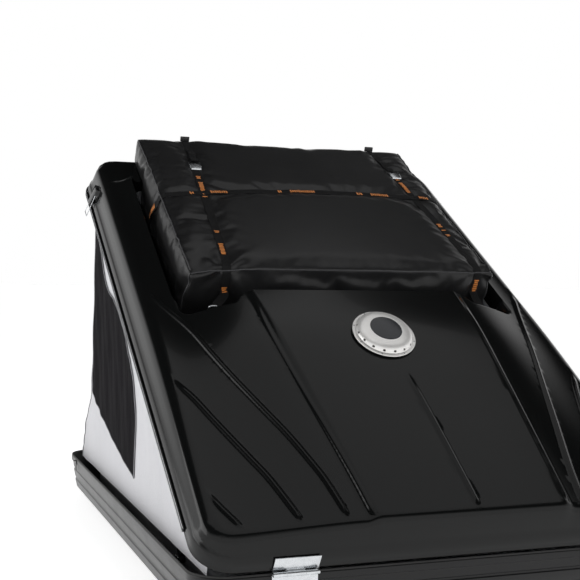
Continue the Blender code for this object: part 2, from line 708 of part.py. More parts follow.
def make_straps(lid):
    over = BAG_TOP + CLEAR
    for side in SIDES:
        path = [(ANCHOR_REAR[0] - 0.0005, ANCHOR_REAR[1] + 0.004), (BAG_REAR + CLEAR + 0.006, 0.135),
                (BAG_REAR + CLEAR, 0.150)]
        path += offset(BAG_OVER, CLEAR) + [(ANCHOR_FRONT[0], ANCHOR_FRONT[1] + 0.0045)]
        points = [(strap_v(side, u), u, w) for u, w in path[:-1]] + [(STRAP_ENDS[side][2], *path[-1])]
        make_band(f"strap_{side}", lid, points, (-1, 0, 0))
    hang = CROSS_END_H
    top = over + STRAP_THICK + CLEAR
    half = BAG_HALF + CLEAR
    (left_foot, left_top), (right_foot, right_top) = CROSS_ENDS["left"], CROSS_ENDS["right"]
    path = [(-half - CROSS_SPLAY, left_foot, hang), (-half, left_foot * 0.65 + left_top * 0.35, hang + 0.05),
            (-half, left_top, top), (half, right_top, top),
            (half, right_foot * 0.65 + right_top * 0.35, hang + 0.05), (half + CROSS_SPLAY, right_foot, hang)]
    make_band("strap_cross", lid, path, (0, -1, 0))


def make_anchors(lid):
    """Steel staples that the strap ends hook on."""
    floor = POCKET_FLOOR + GAP
    for side, sign in SIDES.items():
        u, w = ANCHOR_FRONT
        bm = bmesh.new()
        staple(bm, (STRAP_ENDS[side][2], u, w), (1, 0, 0), (0, 0, -1), w - floor)
        finish(f"anchor_front_{side}", bm, "steel", lid)
        u, w = ANCHOR_REAR
        bm = bmesh.new()
        staple(bm, (strap_v(side, u), u, w), (1, 0, 0), (0, -1, 0), ANCHOR_REAR_DEPTH)
        finish(f"anchor_rear_{side}", bm, "steel", lid)
        v = sign * (BAG_HALF + CROSS_SPLAY + CLEAR)
        w = CROSS_END_H - 0.0045
        bm = bmesh.new()
        staple(bm, (v, CROSS_ENDS[side][0], w), (0, 1, 0), (0, 0, -1), w - floor)
        finish(f"anchor_side_{side}", bm, "steel", lid)


def staple(bm, centre, across, down, depth):
    """One U-shaped staple as a single closed prism standing on the shell."""
    centre, across, down = Vector(centre), Vector(across).normalized(), Vector(down).normalized()
    normal = across.cross(down)
    outer, inner, bar, half = (STAPLE[key] for key in ("outer", "inner", "bar", "half"))
    shape = [(-outer, depth), (-outer, -bar), (outer, -bar), (outer, depth), (inner, depth), (inner, 0.0),
             (-inner, 0.0), (-inner, depth)]
    rings = []
    for c in (-half, half):
        rings.append([centre + across * a + down * b + normal * c for a, b in shape])
    loft(bm, rings)


def make_buckles(lid):
    """Cam buckles: a base plate with cheeks, a pin across them and a lever that clamps the webbing."""
    z0 = BAG_TOP + CLEAR + STRAP_THICK + 0.0004
    pin_y, pin_z = BUCKLE["pin"]
    pin_r, inside, edge, high, floor = (BUCKLE[key] for key in ("pin_r", "inside", "half", "high", "floor"))
    for side in SIDES:
        seat = empty(f"buckle_seat_{side}", lid, (strap_v(side, BUCKLE_U), BUCKLE_U, z0))
        bm = bmesh.new()
        shape = [(-edge, 0), (edge, 0), (edge, high), (inside, high), (inside, floor), (-inside, floor),
                 (-inside, high), (-edge, high)]
        loft(bm, [[(x, y, z) for x, z in shape] for y in (BUCKLE["front"], BUCKLE["rear"])])
        frame = finish(f"buckle_frame_{side}", bm, "steel", seat)
        rivet = bmesh.new()
        add_rod(rivet, (-inside - 0.001, pin_y, pin_z), (inside + 0.001, pin_y, pin_z), pin_r, 12)
        cut(frame, f"buckle_rivet_{side}", rivet, "UNION")
        lever_axis = empty(f"buckle_lever_axis_{side}", seat, (0, pin_y, pin_z))
        bm = bmesh.new()
        width = BUCKLE["lever_half"]
        shape = [(-0.036, -0.0005), (-0.004, -0.003), (0.003, -0.0045), (0.0045, -0.002), (0.0045, 0.003),
                 (0.002, 0.0045), (-0.006, 0.004), (-0.034, 0.0035)]
        loft(bm, [[(x, y, z) for y, z in shape] for x in (-width, width)])
        lever = finish(f"buckle_lever_{side}", bm, "black_plastic", lever_axis)
        bore = bmesh.new()
        add_rod(bore, (-0.03, 0, 0), (0.03, 0, 0), pin_r + PIN_PLAY, 12)
        cut(lever, f"buckle_bore_{side}", bore)


# --- draw latches on the lid's sides and their keepers on the base

def make_latches(base, lid):
    slope = math.atan2(SHOULDER_INSET, shoulder_height(LATCH_U) - RIM_STANDOFF)
    drop = SHOULDER_INSET * (LATCH_W - RIM_STANDOFF) / (shoulder_height(LATCH_U) - RIM_STANDOFF)
    for side, sign in SIDES.items():
        seat = empty(f"latch_seat_{side}", lid, (sign * (HALF - drop), LATCH_U, LATCH_W), (0, -sign * slope, 0))
        bm = bmesh.new()
        add_box(bm, *ordered((sign * 0.0006, -0.0225, -0.032), (sign * 0.0032, 0.0225, 0.040)))
        plate = finish(f"latch_plate_{side}", bm, "steel", seat)
        for end in (-1, 1):
            cheek = bmesh.new()
            add_box(cheek, *ordered((sign * 0.0020, end * 0.0195, 0.014), (sign * 0.0165, end * 0.0220, 0.036)))
            cut(plate, f"latch_cheek_{side}_{end + 1}", cheek, "UNION")
        lever_axis = empty(f"latch_lever_axis_{side}", seat, (sign * 0.011, 0, 0.028))
        bm = bmesh.new()
        profile = [(-0.0045, 0.0), (-0.003, 0.004), (0.002, 0.005), (0.0045, 0.003), (0.0052, -0.020),
                   (0.0075, -0.058), (0.0062, -0.0632), (0.0030, -0.0640), (-0.0030, -0.058),
                   (-0.0045, -0.020)]
        loft(bm, [[(sign * o, y, z) for o, z in profile] for y in (-0.015, 0.015)])
        finish(f"latch_lever_{side}", bm, "black_plastic", lever_axis)
        bail_axis = empty(f"latch_bail_axis_{side}", lever_axis, (0, 0, -0.016))
        bm = bmesh.new()
        wire, arm, foot, top = 0.0014, 0.0174, -0.087, 0.003
        shape = [(-arm - wire, top), (-arm - wire, foot - wire), (arm + wire, foot - wire), (arm + wire, top),
                 (arm - wire, top), (arm - wire, foot + wire), (wire - arm, foot + wire), (wire - arm, top)]
        loft(bm, [[(x, y, z) for y, z in shape] for x in (-wire, wire)])
        finish(f"latch_bail_{side}", bm, "steel", bail_axis)

        bm = bmesh.new()
        add_box(bm, *ordered((sign * (HALF + 0.0005), LATCH_U - 0.013, -0.045),
                             (sign * (HALF + 0.0030), LATCH_U + 0.013, -0.006)))
        keeper = finish(f"latch_keeper_{side}", bm, "steel", base)
        lip = bmesh.new()
        add_box(lip, *ordered((sign * (HALF + 0.0020), LATCH_U - 0.012, -0.0095),
                              (sign * (HALF + 0.0120), LATCH_U + 0.012, -0.0070)))
        cut(keeper, f"keeper_lip_{side}", lip, "UNION")


def ordered(a, b):
    low = tuple(min(p, q) for p, q in zip(a, b))
    high = tuple(max(p, q) for p, q in zip(a, b))
    return low, high


# --- fabric walls, hung between the base rim and the lid rim

def make_fabric(base):
    top_front = lid_point(FABRIC_FRONT, FABRIC_TUCK)
    top_rear = lid_point(FABRIC_HEAD, FABRIC_TUCK)
    rear = FABRIC_FLARE + [top_rear]
    wall = [(FABRIC_FRONT, -FABRIC_TUCK)] + rear + [top_front]
    for side, sign in SIDES.items():
        bm = bmesh.new()
        a, b = sorted((sign * FABRIC_X, sign * (FABRIC_X + FABRIC)))
        prism(bm, wall, a, b)
        finish(f"side_wall_{side}", bm, "canvas", base)
        bm = bmesh.new()
        a, b = sorted((sign * (FABRIC_X + FABRIC + GAP), sign * (FABRIC_X + 2 * FABRIC)))
        prism(bm, WINDOW, a, b)
        finish(f"side_window_{side}", bm, "window", base)

    near, far = 0.001, 0.001 + FABRIC
    bm = bmesh.new()
    prism(bm, offset(rear, near) + offset(rear, far)[::-1], 0.004 - FABRIC_X, FABRIC_X - 0.004)
    finish("rear_wall", bm, "canvas", base)
    low, high = DOOR_SPAN
    door = [(point_at(rear, low), low)] + [p for p in rear if low < p[1] < high] + [(point_at(rear, high), high)]
    bm = bmesh.new()
    prism(bm, offset(door, far + GAP) + offset(door, far + GAP + FABRIC / 2)[::-1], -DOOR_HALF, DOOR_HALF)
    finish("rear_door", bm, "window", base)


def point_at(path, height):
    """Where a rising (y, z) path crosses a height."""
    for (ya, za), (yb, zb) in zip(path, path[1:]):
        if za <= height <= zb:
            return ya + (yb - ya) * (height - za) / (zb - za)
    return path[-1][0]


def main():
    clear_scene()
    nose = lid_point(SHOULDER_FRONT, panel_height(SHOULDER_FRONT))
    hinge = (0, -(nose[0] + LENGTH) / 2, STAND)
    base = empty("base_frame", None, hinge)
    lid = empty("lid_axis", base, (0, 0, 0), (OPEN_ANGLE, 0, 0))
    make_base_shell(base)
    make_rails(base)
    make_bolts(base)
    make_seal(base)
    make_mattress(base)
    make_hinges(base, lid)
    make_struts(base, lid)
    make_lid_shell(lid)
    make_lid_trim(lid)
    make_vent(lid)
    make_bag(lid)
    make_straps(lid)
    make_anchors(lid)
    make_buckles(lid)
    make_latches(base, lid)
    make_fabric(base)


main()
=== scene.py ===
import json
import math

import bmesh
import bpy
import numpy as np
from mathutils import Matrix, Vector
from mathutils.bvhtree import BVHTree

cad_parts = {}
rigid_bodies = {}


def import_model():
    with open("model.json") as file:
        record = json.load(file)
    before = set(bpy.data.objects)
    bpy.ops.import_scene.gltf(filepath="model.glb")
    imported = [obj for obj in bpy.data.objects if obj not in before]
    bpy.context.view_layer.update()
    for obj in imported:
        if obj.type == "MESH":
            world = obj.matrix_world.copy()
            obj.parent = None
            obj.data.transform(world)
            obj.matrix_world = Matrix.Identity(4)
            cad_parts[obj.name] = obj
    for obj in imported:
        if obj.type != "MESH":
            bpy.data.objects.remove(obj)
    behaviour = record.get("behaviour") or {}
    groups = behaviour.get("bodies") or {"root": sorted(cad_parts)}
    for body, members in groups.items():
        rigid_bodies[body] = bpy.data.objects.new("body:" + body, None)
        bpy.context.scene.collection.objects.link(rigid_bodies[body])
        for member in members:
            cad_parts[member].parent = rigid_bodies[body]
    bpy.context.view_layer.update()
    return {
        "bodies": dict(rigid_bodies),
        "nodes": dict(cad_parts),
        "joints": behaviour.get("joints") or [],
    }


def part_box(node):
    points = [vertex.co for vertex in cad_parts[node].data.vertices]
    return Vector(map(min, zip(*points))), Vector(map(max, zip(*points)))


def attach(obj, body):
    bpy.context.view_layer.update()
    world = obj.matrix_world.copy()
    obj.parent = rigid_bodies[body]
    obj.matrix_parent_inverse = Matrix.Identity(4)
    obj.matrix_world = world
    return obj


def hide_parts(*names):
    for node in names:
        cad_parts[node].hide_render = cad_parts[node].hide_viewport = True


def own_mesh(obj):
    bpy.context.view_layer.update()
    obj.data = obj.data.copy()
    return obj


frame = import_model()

# the hinge line and the opening angle place everything on the lid
lidHinge = next(j for j in frame["joints"] if j["name"] == "lid_hinge")
hinge = Vector(lidHinge["pos_m"])
openAngle = math.radians(-lidHinge["range_deg"][0])
baseToRow = Matrix.Translation(hinge)
lidToRow = baseToRow @ Matrix.Rotation(openAngle, 4, "X")
sides = {"left": -1, "right": 1}

# shell outline, measured from the hinge line: v sideways, u rearwards, w up
shell = {
    "half": 0.70,
    "front": 0.012,
    "rear": 2.00,
    "corner": 0.10,
    "rim": 0.004,
    "shoulderInset": 0.035,
    "shoulderRear": 0.125,
    "shoulderFront": 0.090,
    "cell": 0.0125,
    "fineCuts": 4,
}
panel = {"frontHeight": 0.110, "slope": 0.140, "maxHeight": 0.215, "left": (0.240, 0.358),
         "right": (0.320, 0.350), "step": 0.012, "length": 0.93}
vent = {"at": 0.708, "screws": 8, "slots": 16, "screwRing": 0.0938, "post": 0.078, "skinHole": 0.066,
        "liningHole": 0.080}
pocket = {"front": 0.945, "rear": 1.80, "half": 0.575, "floor": 0.045, "corner": 0.045, "wall": 0.010,
          "ramp": 0.060}


def smoothStep(t):
    t = np.clip(t, 0.0, 1.0)
    return t * t * (3 - 2 * t)


def say(text):
    print("scene:", text)


def vertsOf(geom):
    return [g for g in geom if isinstance(g, bmesh.types.BMVert)]


def edgesOf(geom):
    return [g for g in geom if isinstance(g, bmesh.types.BMEdge)]


def roundEdges(bm, edges, width, segments):
    bmesh.ops.bevel(bm, geom=edges, offset=width, offset_type="OFFSET", segments=segments, profile=0.5,
                    affect="EDGES", clamp_overlap=True, material=-1)


# Turn an open sheet's faces so that together they look the given way
def faceTowards(bm, way):
    bmesh.ops.recalc_face_normals(bm, faces=bm.faces)
    facing = sum((f.normal * f.calc_area() for f in bm.faces), Vector())
    if facing.dot(Vector(way)) < 0:
        bmesh.ops.reverse_faces(bm, faces=bm.faces)


# Cut a mesh into equal slices between two places on an axis
def cutAcross(bm, axis, low, high, count):
    for k in range(1, count):
        place, normal = [0, 0, 0], [0, 0, 0]
        place[axis], normal[axis] = low + (high - low) * k / count, 1
        bmesh.ops.bisect_plane(bm, geom=bm.verts[:] + bm.edges[:] + bm.faces[:], plane_co=place, plane_no=normal)


# Length so far at each point of a course
def lengthAlong(points):
    return np.concatenate([[0], np.cumsum(np.linalg.norm(np.diff(points, axis=0), axis=1))])


def meshOf(name, bm):
    mesh = bpy.data.meshes.new(name)
    bm.to_mesh(mesh)
    bm.free()
    return mesh


# A finished mesh becomes a piece that rides on a body
def addPiece(name, mesh, body, look, replaces=(), place=None, smooth=40):
    if isinstance(mesh, bmesh.types.BMesh):
        mesh = meshOf(name, mesh)
    if place is not None:
        mesh.transform(place)
    mesh.materials.clear()
    mesh.materials.append(look)
    if smooth is not None:
        mesh.shade_smooth()
        mesh.set_sharp_from_angle(angle=math.radians(smooth))
    piece = bpy.data.objects.new(name, mesh)
    bpy.context.collection.objects.link(piece)
    if replaces:
        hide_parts(*([replaces] if isinstance(replaces, str) else replaces))
    if body:
        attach(piece, body)
    return piece


def meshPoints(mesh):
    co = np.zeros(len(mesh.vertices) * 3)
    mesh.vertices.foreach_get("co", co)
    return co.reshape(-1, 3)


def setPoints(mesh, co):
    mesh.vertices.foreach_set("co", np.asarray(co, float).ravel())
    mesh.update()


def meshNormals(mesh):
    normals = np.zeros(len(mesh.vertices) * 3)
    mesh.vertices.foreach_get("normal", normals)
    return normals.reshape(-1, 3)


# Principled material: grainy colour and roughness, and up to two bump layers, all on Object coordinates
def nodeLook(name, colour, rough, metal=0.0, **k):
    look = bpy.data.materials.new(name)
    look.use_nodes = True
    tree = look.node_tree
    shader = tree.nodes["Principled BSDF"]
    shader.inputs["Metallic"].default_value = metal
    shader.inputs["Roughness"].default_value = rough
    for socket in ("Coat Weight", "Coat Roughness", "Sheen Weight", "Sheen Roughness", "Specular IOR Level"):
        if socket in k:
            shader.inputs[socket].default_value = k[socket]
    place = tree.nodes.new("ShaderNodeTexCoord")
    spot = place.outputs["UV" if k.get("uv") else "Object"]

    def noiseAt(scale, detail=4.0):
        node = tree.nodes.new("ShaderNodeTexNoise")
        node.inputs["Scale"].default_value = scale
        node.inputs["Detail"].default_value = detail
        tree.links.new(spot, node.inputs["Vector"])
        return node.outputs["Fac"]

    def waveAt(scale, direction, distort=0.0):
        node = tree.nodes.new("ShaderNodeTexWave")
        node.bands_direction = direction
        node.inputs["Scale"].default_value = scale
        node.inputs["Distortion"].default_value = distort
        tree.links.new(spot, node.inputs["Vector"])
        return node.outputs["Fac"]

    def blendMath(a, b, operation):
        node = tree.nodes.new("ShaderNodeMath")
        node.operation = operation
        for socket, value in zip(node.inputs, (a, b)):
            if isinstance(value, (int, float)):
                socket.default_value = value
            else:
                tree.links.new(value, socket)
        return node.outputs[0]

    # colour: two close tones in soft clouds, with a fine fleck
    ramp = tree.nodes.new("ShaderNodeValToRGB")
    spread = k.get("spread", 0.25)
    low = [c * (1 - spread) for c in colour]
    high = [min(c * (1 + spread), 1.0) for c in colour]
    ramp.color_ramp.elements[0].position = 0.3
    ramp.color_ramp.elements[1].position = 0.7
    ramp.color_ramp.elements[0].color = (*low, 1)
    ramp.color_ramp.elements[1].color = (*high, 1)
    clouds = blendMath(blendMath(noiseAt(k.get("cloud", 6.0)), 0.6, "MULTIPLY"),
                       blendMath(noiseAt(k.get("fleck", 400.0), 2.0), 0.4, "MULTIPLY"), "ADD")
    tree.links.new(clouds, ramp.inputs["Fac"])
    tree.links.new(ramp.outputs["Color"], shader.inputs["Base Color"])

    # roughness: worn and dusty patches
    span = tree.nodes.new("ShaderNodeMapRange")
    vary = k.get("roughSpread", 0.06)
    span.inputs["To Min"].default_value = max(rough - vary, 0.02)
    span.inputs["To Max"].default_value = min(rough + vary, 1.0)
    tree.links.new(noiseAt(k.get("wear", 12.0), 6.0), span.inputs["Value"])
    tree.links.new(span.outputs["Result"], shader.inputs["Roughness"])

    # bump layers: (kind, scale, strength, distance)
    normal = None
    for kind, scale, strength, distance in k.get("bumps", ()):
        if kind == "noise":
            height = noiseAt(scale, 5.0)
        elif kind == "weave":
            height = blendMath(waveAt(scale, "X"), waveAt(scale, "Y"), "MULTIPLY")
            height = blendMath(height, blendMath(waveAt(scale, "Z"), 0.5, "MULTIPLY"), "ADD")
        elif kind == "brushX":
            height = waveAt(scale, "X", distort=3.0)
        elif kind == "pebble":
            node = tree.nodes.new("ShaderNodeTexVoronoi")
            node.inputs["Scale"].default_value = scale
            tree.links.new(spot, node.inputs["Vector"])
            height = node.outputs["Distance"]
        bump = tree.nodes.new("ShaderNodeBump")
        bump.inputs["Strength"].default_value = strength
        bump.inputs["Distance"].default_value = distance
        tree.links.new(height, bump.inputs["Height"])
        if normal is not None:
            tree.links.new(normal, bump.inputs["Normal"])
        normal = bump.outputs["Normal"]
    if normal is not None:
        tree.links.new(normal, shader.inputs["Normal"])
    return look


looks = {
    "glossShell": nodeLook("glossShell", (0.0052, 0.0056, 0.0056), 0.17, cloud=1.5, spread=0.12, roughSpread=0.03,
                           wear=5.0, bumps=[("noise", 260.0, 0.05, 0.0004)],
                           **{"Specular IOR Level": 0.22, "Coat Weight": 0.10, "Coat Roughness": 0.05}),
    "baseShell": nodeLook("baseShell", (0.009, 0.009, 0.0095), 0.34, cloud=3.0, spread=0.2,
                          bumps=[("pebble", 900.0, 0.12, 0.0003), ("noise", 60.0, 0.05, 0.0006)],
                          **{"Specular IOR Level": 0.3}),
    "aluminium": nodeLook("aluminium", (0.62, 0.63, 0.64), 0.30, 0.95, spread=0.06, wear=40.0,
                          bumps=[("brushX", 900.0, 0.08, 0.0002)]),
    "stainless": nodeLook("stainless", (0.96, 0.945, 0.925), 0.30, 0.45, cloud=20.0, spread=0.05, wear=60.0,
                          bumps=[("noise", 1500.0, 0.06, 0.0001)]),
    "steel": nodeLook("steel", (0.46, 0.47, 0.48), 0.32, 1.0, spread=0.1, wear=90.0,
                      bumps=[("noise", 900.0, 0.1, 0.0002)]),
    "zinc": nodeLook("zinc", (0.66, 0.68, 0.70), 0.26, 1.0, spread=0.12, cloud=60.0, wear=120.0,
                     bumps=[("noise", 700.0, 0.12, 0.0002)]),
    "rubber": nodeLook("rubber", (0.018, 0.018, 0.018), 0.75, spread=0.3, bumps=[("noise", 900.0, 0.3, 0.0003)]),
    "blackPlastic": nodeLook("blackPlastic", (0.013, 0.013, 0.014), 0.42, spread=0.25,
                             bumps=[("pebble", 1400.0, 0.2, 0.0002)]),
    "tarpaulin": nodeLook("tarpaulin", (0.0135, 0.0135, 0.014), 0.36, cloud=5.0, spread=0.18, roughSpread=0.09,
                          wear=9.0, bumps=[("weave", 700.0, 0.10, 0.0003), ("noise", 45.0, 0.10, 0.0016),
                                           ("noise", 9.0, 0.12, 0.006)],
                          **{"Specular IOR Level": 0.26, "Coat Weight": 0.14,
                              "Coat Roughness": 0.22}),
    "piping": nodeLook("piping", (0.045, 0.045, 0.048), 0.38, spread=0.2, bumps=[("noise", 300.0, 0.2, 0.0004)]),
    "webbing": nodeLook("webbing", (0.0060, 0.0060, 0.0065), 0.66, uv=True, spread=0.35, fleck=900.0,
                        bumps=[("weave", 190.0, 0.9, 0.0006)], **{"Specular IOR Level": 0.25}),
    "strapMark": nodeLook("strapMark", (0.90, 0.255, 0.035), 0.60, uv=True, spread=0.35, fleck=700.0,
                          bumps=[("weave", 190.0, 0.8, 0.0005)], **{"Sheen Weight": 0.2, "Sheen Roughness": 0.5}),
    "canvas": nodeLook("canvas", (0.66, 0.66, 0.685), 0.72, cloud=4.0, spread=0.04, wear=6.0,
                       bumps=[("weave", 900.0, 0.25, 0.0003), ("noise", 14.0, 0.10, 0.004)],
                       **{"Sheen Weight": 0.2, "Sheen Roughness": 0.4}),
    "windowMesh": nodeLook("windowMesh", (0.0070, 0.0062, 0.0078), 0.90, cloud=7.0, spread=0.2,
                           bumps=[("weave", 1100.0, 0.5, 0.0003), ("noise", 12.0, 0.12, 0.004)],
                           **{"Specular IOR Level": 0.08}),
    "binding": nodeLook("binding", (0.30, 0.30, 0.315), 0.7, spread=0.15, bumps=[("weave", 800.0, 0.5, 0.0004)]),
    "solar": nodeLook("solar", (0.010, 0.0125, 0.017), 0.22, cloud=30.0, spread=0.3,
                      bumps=[("weave", 60.0, 0.1, 0.0003)], **{"Coat Weight": 0.3, "Coat Roughness": 0.10}),
    "foam": nodeLook("foam", (0.35, 0.36, 0.38), 0.85, spread=0.12, bumps=[("weave", 500.0, 0.5, 0.0006)],
                     **{"Sheen Weight": 0.3, "Sheen Roughness": 0.5}),
}
say("materials ready")


# Distance in from the rim's rounded outline, positive inside
def outlineInset(u, v, grow=0.0):
    r = shell["corner"] + grow
    middle = (shell["front"] + shell["rear"]) / 2
    halfU = (shell["rear"] - shell["front"]) / 2 + grow
    qu = np.abs(u - middle) - (halfU - r)
    qv = np.abs(v) - (shell["half"] + grow - r)
    outside = np.hypot(np.maximum(qu, 0), np.maximum(qv, 0)) + np.minimum(np.maximum(qu, qv), 0)
    return r - outside


def shoulderHeight(u):
    rise = shell["shoulderRear"] - shell["shoulderFront"]
    return shell["shoulderFront"] + rise * smoothStep(u / panel["length"])


def panelHeight(u):
    line = panel["frontHeight"] + panel["slope"] * u
    soft = 0.012
    gap = line - panel["maxHeight"]
    return panel["maxHeight"] + 0.5 * (gap - np.sqrt(gap * gap + soft * soft))


def panelHalf(u, v):
    left, right = (panel[side][0] + (panel[side][1] - panel[side][0]) * u / panel["length"] for side in sides)
    return np.where(v < 0, left, right)


def topHeight(u, v):
    side = np.abs(v)
    low = shoulderHeight(u)
    high = panelHeight(u)
    half = panelHalf(u, v)
    shoulderHalf = shell["half"] - shell["shoulderInset"]
    spread = smoothStep((shoulderHalf - side) / (shoulderHalf - half))
    flank = low + (high - panel["step"] - low) * spread
    onPanel = smoothStep((half + 0.016 - side) / 0.032)
    front = flank + (high - flank) * onPanel
    back = smoothStep((u - pocket["rear"] + 0.03) / 0.03)
    return front * (1 - back) + low * back


# Distance in from the pocket's outline; its front corners reach past the raised panel
def pocketInset(u, v):
    side = np.abs(v)
    reach = smoothStep((side - panelHalf(u, v) - 0.01) / 0.05)
    frontEdge = pocket["front"] - 0.045 * reach
    qu = np.maximum(frontEdge - u, u - pocket["rear"])
    qv = side - pocket["half"]
    r = pocket["corner"]
    au, av = qu + r, qv + r
    outside = np.hypot(np.maximum(au, 0), np.maximum(av, 0)) + np.minimum(np.maximum(au, av), 0) - r
    return -outside


# The side wall: a small lip, a steep band, a ledge, then the shoulder rolling over into the top
def wallHeight(inset, top):
    knots = np.array([0.0, 0.0015, 0.0045, 0.0065, 0.0105, 0.0125])
    levels = np.array([shell["rim"], 0.008, 0.040, 0.0455, 0.0470, 0.0520])
    low = np.interp(inset, knots, levels)
    span = shell["shoulderInset"] - knots[-1]
    t = (inset - knots[-1]) / span
    roll = 0.30
    climb = np.where(t < 1 - roll, t / (1 - roll / 2),
                     1 - (np.clip(1 + roll - t, 0, 2 * roll) ** 2) / (4 * roll * (1 - roll / 2)))
    rise = levels[-1] + (top - levels[-1]) * np.clip(climb, 0, 1)
    return np.where(inset <= knots[-1], low, rise)


def lidHeight(u, v):
    top = topHeight(u, v)
    inset = outlineInset(u, v)
    depth = pocketInset(u, v)
    side = np.abs(v)
    ramp = np.where(side > panelHalf(u, v) + 0.02, pocket["ramp"], pocket["wall"])
    nearFront = smoothStep((1.02 - u) / 0.04)
    width = pocket["wall"] + (ramp - pocket["wall"]) * nearFront
    sink = smoothStep(depth / width)
    top = top * (1 - sink) + pocket["floor"] * sink
    return np.where(inset < shell["shoulderInset"] * 1.35, wallHeight(inset, top), top)


# raised creases as (u, v) along the skin, with their height and half width
creases = [
    {"line": [(1.255, -0.685), (1.156, -0.673), (1.074, -0.653), (0.959, -0.607), (0.832, -0.559), (0.704, -0.523),
              (0.594, -0.488), (0.471, -0.442), (0.358, -0.396), (0.266, -0.363), (0.189, -0.338), (0.06, -0.31)],
     "height": 0.0080, "half": 0.012},
    {"line": [(1.255, 0.685), (1.156, 0.673), (1.074, 0.653), (0.959, 0.610), (0.832, 0.568), (0.704, 0.530),
              (0.525, 0.476), (0.363, 0.434), (0.191, 0.392), (0.06, 0.37)], "height": 0.0080, "half": 0.012},
    {"line": [(0.826, -0.691), (0.750, -0.679), (0.671, -0.667), (0.606, -0.638), (0.547, -0.608), (0.460, -0.575),
              (0.380, -0.544), (0.293, -0.509), (0.213, -0.477), (0.06, -0.43)], "height": 0.0080, "half": 0.012},
    {"line": [(0.826, 0.691), (0.750, 0.679), (0.671, 0.667), (0.606, 0.643), (0.547, 0.616), (0.460, 0.585),
              (0.380, 0.558), (0.293, 0.530), (0.213, 0.503), (0.06, 0.46)], "height": 0.0080, "half": 0.012},
    {"line": [(0.400, -0.696), (0.321, -0.679), (0.246, -0.664), (0.16, -0.63), (0.06, -0.58)], "height": 0.007,
     "half": 0.011},
    {"line": [(0.400, 0.696), (0.321, 0.679), (0.246, 0.664), (0.16, 0.63), (0.06, 0.59)], "height": 0.007,
     "half": 0.011},
    {"line": [(0.925, -0.357), (0.776, -0.349), (0.662, -0.336), (0.494, -0.311), (0.344, -0.286), (0.172, -0.260),
              (0.05, -0.245)], "height": 0.0045, "half": 0.010},
    {"line": [(0.925, 0.350), (0.617, 0.338), (0.433, 0.334), (0.287, 0.330), (0.146, 0.325), (0.05, 0.32)],
     "height": 0.0045, "half": 0.010},
    {"line": [(0.575, 0.018), (0.366, 0.033), (0.149, 0.045), (0.05, 0.05)], "height": 0.0055, "half": 0.011},
]


# creases begin this far in from the rim
creaseFrom = 0.052


# Outward push at each (v, u, w) point from the nearest crease
def creaseField(points, wider=0.0):
    push = np.zeros(len(points))
    for crease in creases:
        route = smoothRoute(crease["line"], 8)
        line = np.column_stack([route[:, 1], route[:, 0], lidHeight(route[:, 0], route[:, 1])])
        along = lengthAlong(line)
        low, high = line.min(0) - 0.04, line.max(0) + 0.04
        near = np.all((points > low) & (points < high), axis=1)
        p = points[near]
        best = np.full(len(p), 1e9)
        where = np.zeros(len(p))
        for i in range(len(line) - 1):
            a, d = line[i], line[i + 1] - line[i]
            t = np.clip(((p - a) @ d) / (d @ d), 0, 1)
            gap = np.linalg.norm(p - a - t[:, None] * d, axis=1)
            closer = gap < best
            best[closer] = gap[closer]
            where[closer] = along[i] + t[closer] * (along[i + 1] - along[i])
        fade = smoothStep(where / 0.14) * smoothStep((along[-1] - where) / 0.05)
        fade = fade * smoothStep((outlineInset(p[:, 1], p[:, 0]) - creaseFrom) / 0.024)
        bump = crease["height"] * fade * (1 - smoothStep(best / (crease["half"] + wider)))
        push[near] = np.maximum(push[near], bump)
    return push


# Catmull-Rom points through the given ones
def smoothRoute(points, between):
    points = [np.array(p, float) for p in points]
    ends = [2 * points[0] - points[1]] + points + [2 * points[-1] - points[-2]]
    route = []
    for a, b, c, d in zip(ends, ends[1:], ends[2:], ends[3:]):
        for k in range(between):
            t = k / between
            route.append(0.5 * (2 * b + (c - a) * t + (2 * a - 5 * b + 4 * c - d) * t ** 2
                                + (3 * b - a - 3 * c + d) * t ** 3))
    return np.array(route + [points[-1]])


# Half width of the rounded outline at u
def halfAt(u, grow=0.0):
    r = shell["corner"] + grow
    front, rear = shell["front"] - grow, shell["rear"] + grow
    past = max(front + r - u, u - (rear - r), 0.0)
    return shell["half"] + grow - r + math.sqrt(max(r * r - past * past, 0.0))


def rowPlaces():
    r, front, rear = shell["corner"], shell["front"], shell["rear"]
    turn = [math.radians(90 - 90 * k / 14) for k in range(14)]
    ends = [front + r - r * math.sin(t) for t in turn]
    tails = [rear - r + r * math.sin(t) for t in reversed(turn)]
    count = int((rear - front - 2 * r) / shell["cell"])
    middle = [front + r + (rear - front - 2 * r) * k / count for k in range(count + 1)]
    return ends + middle + tails


def columnPlaces():
    count = int(2 * shell["half"] / shell["cell"])
    even = [-1 + 2 * k / count for k in range(count + 1)]
    edge = [0.9995, 0.9965, 0.9925, 0.988, 0.983, 0.977, 0.970, 0.962, 0.953]
    inner = [s for s in even if abs(s) < 0.945]
    return sorted([-e for e in edge] + [-1.0] + inner + edge + [1.0])


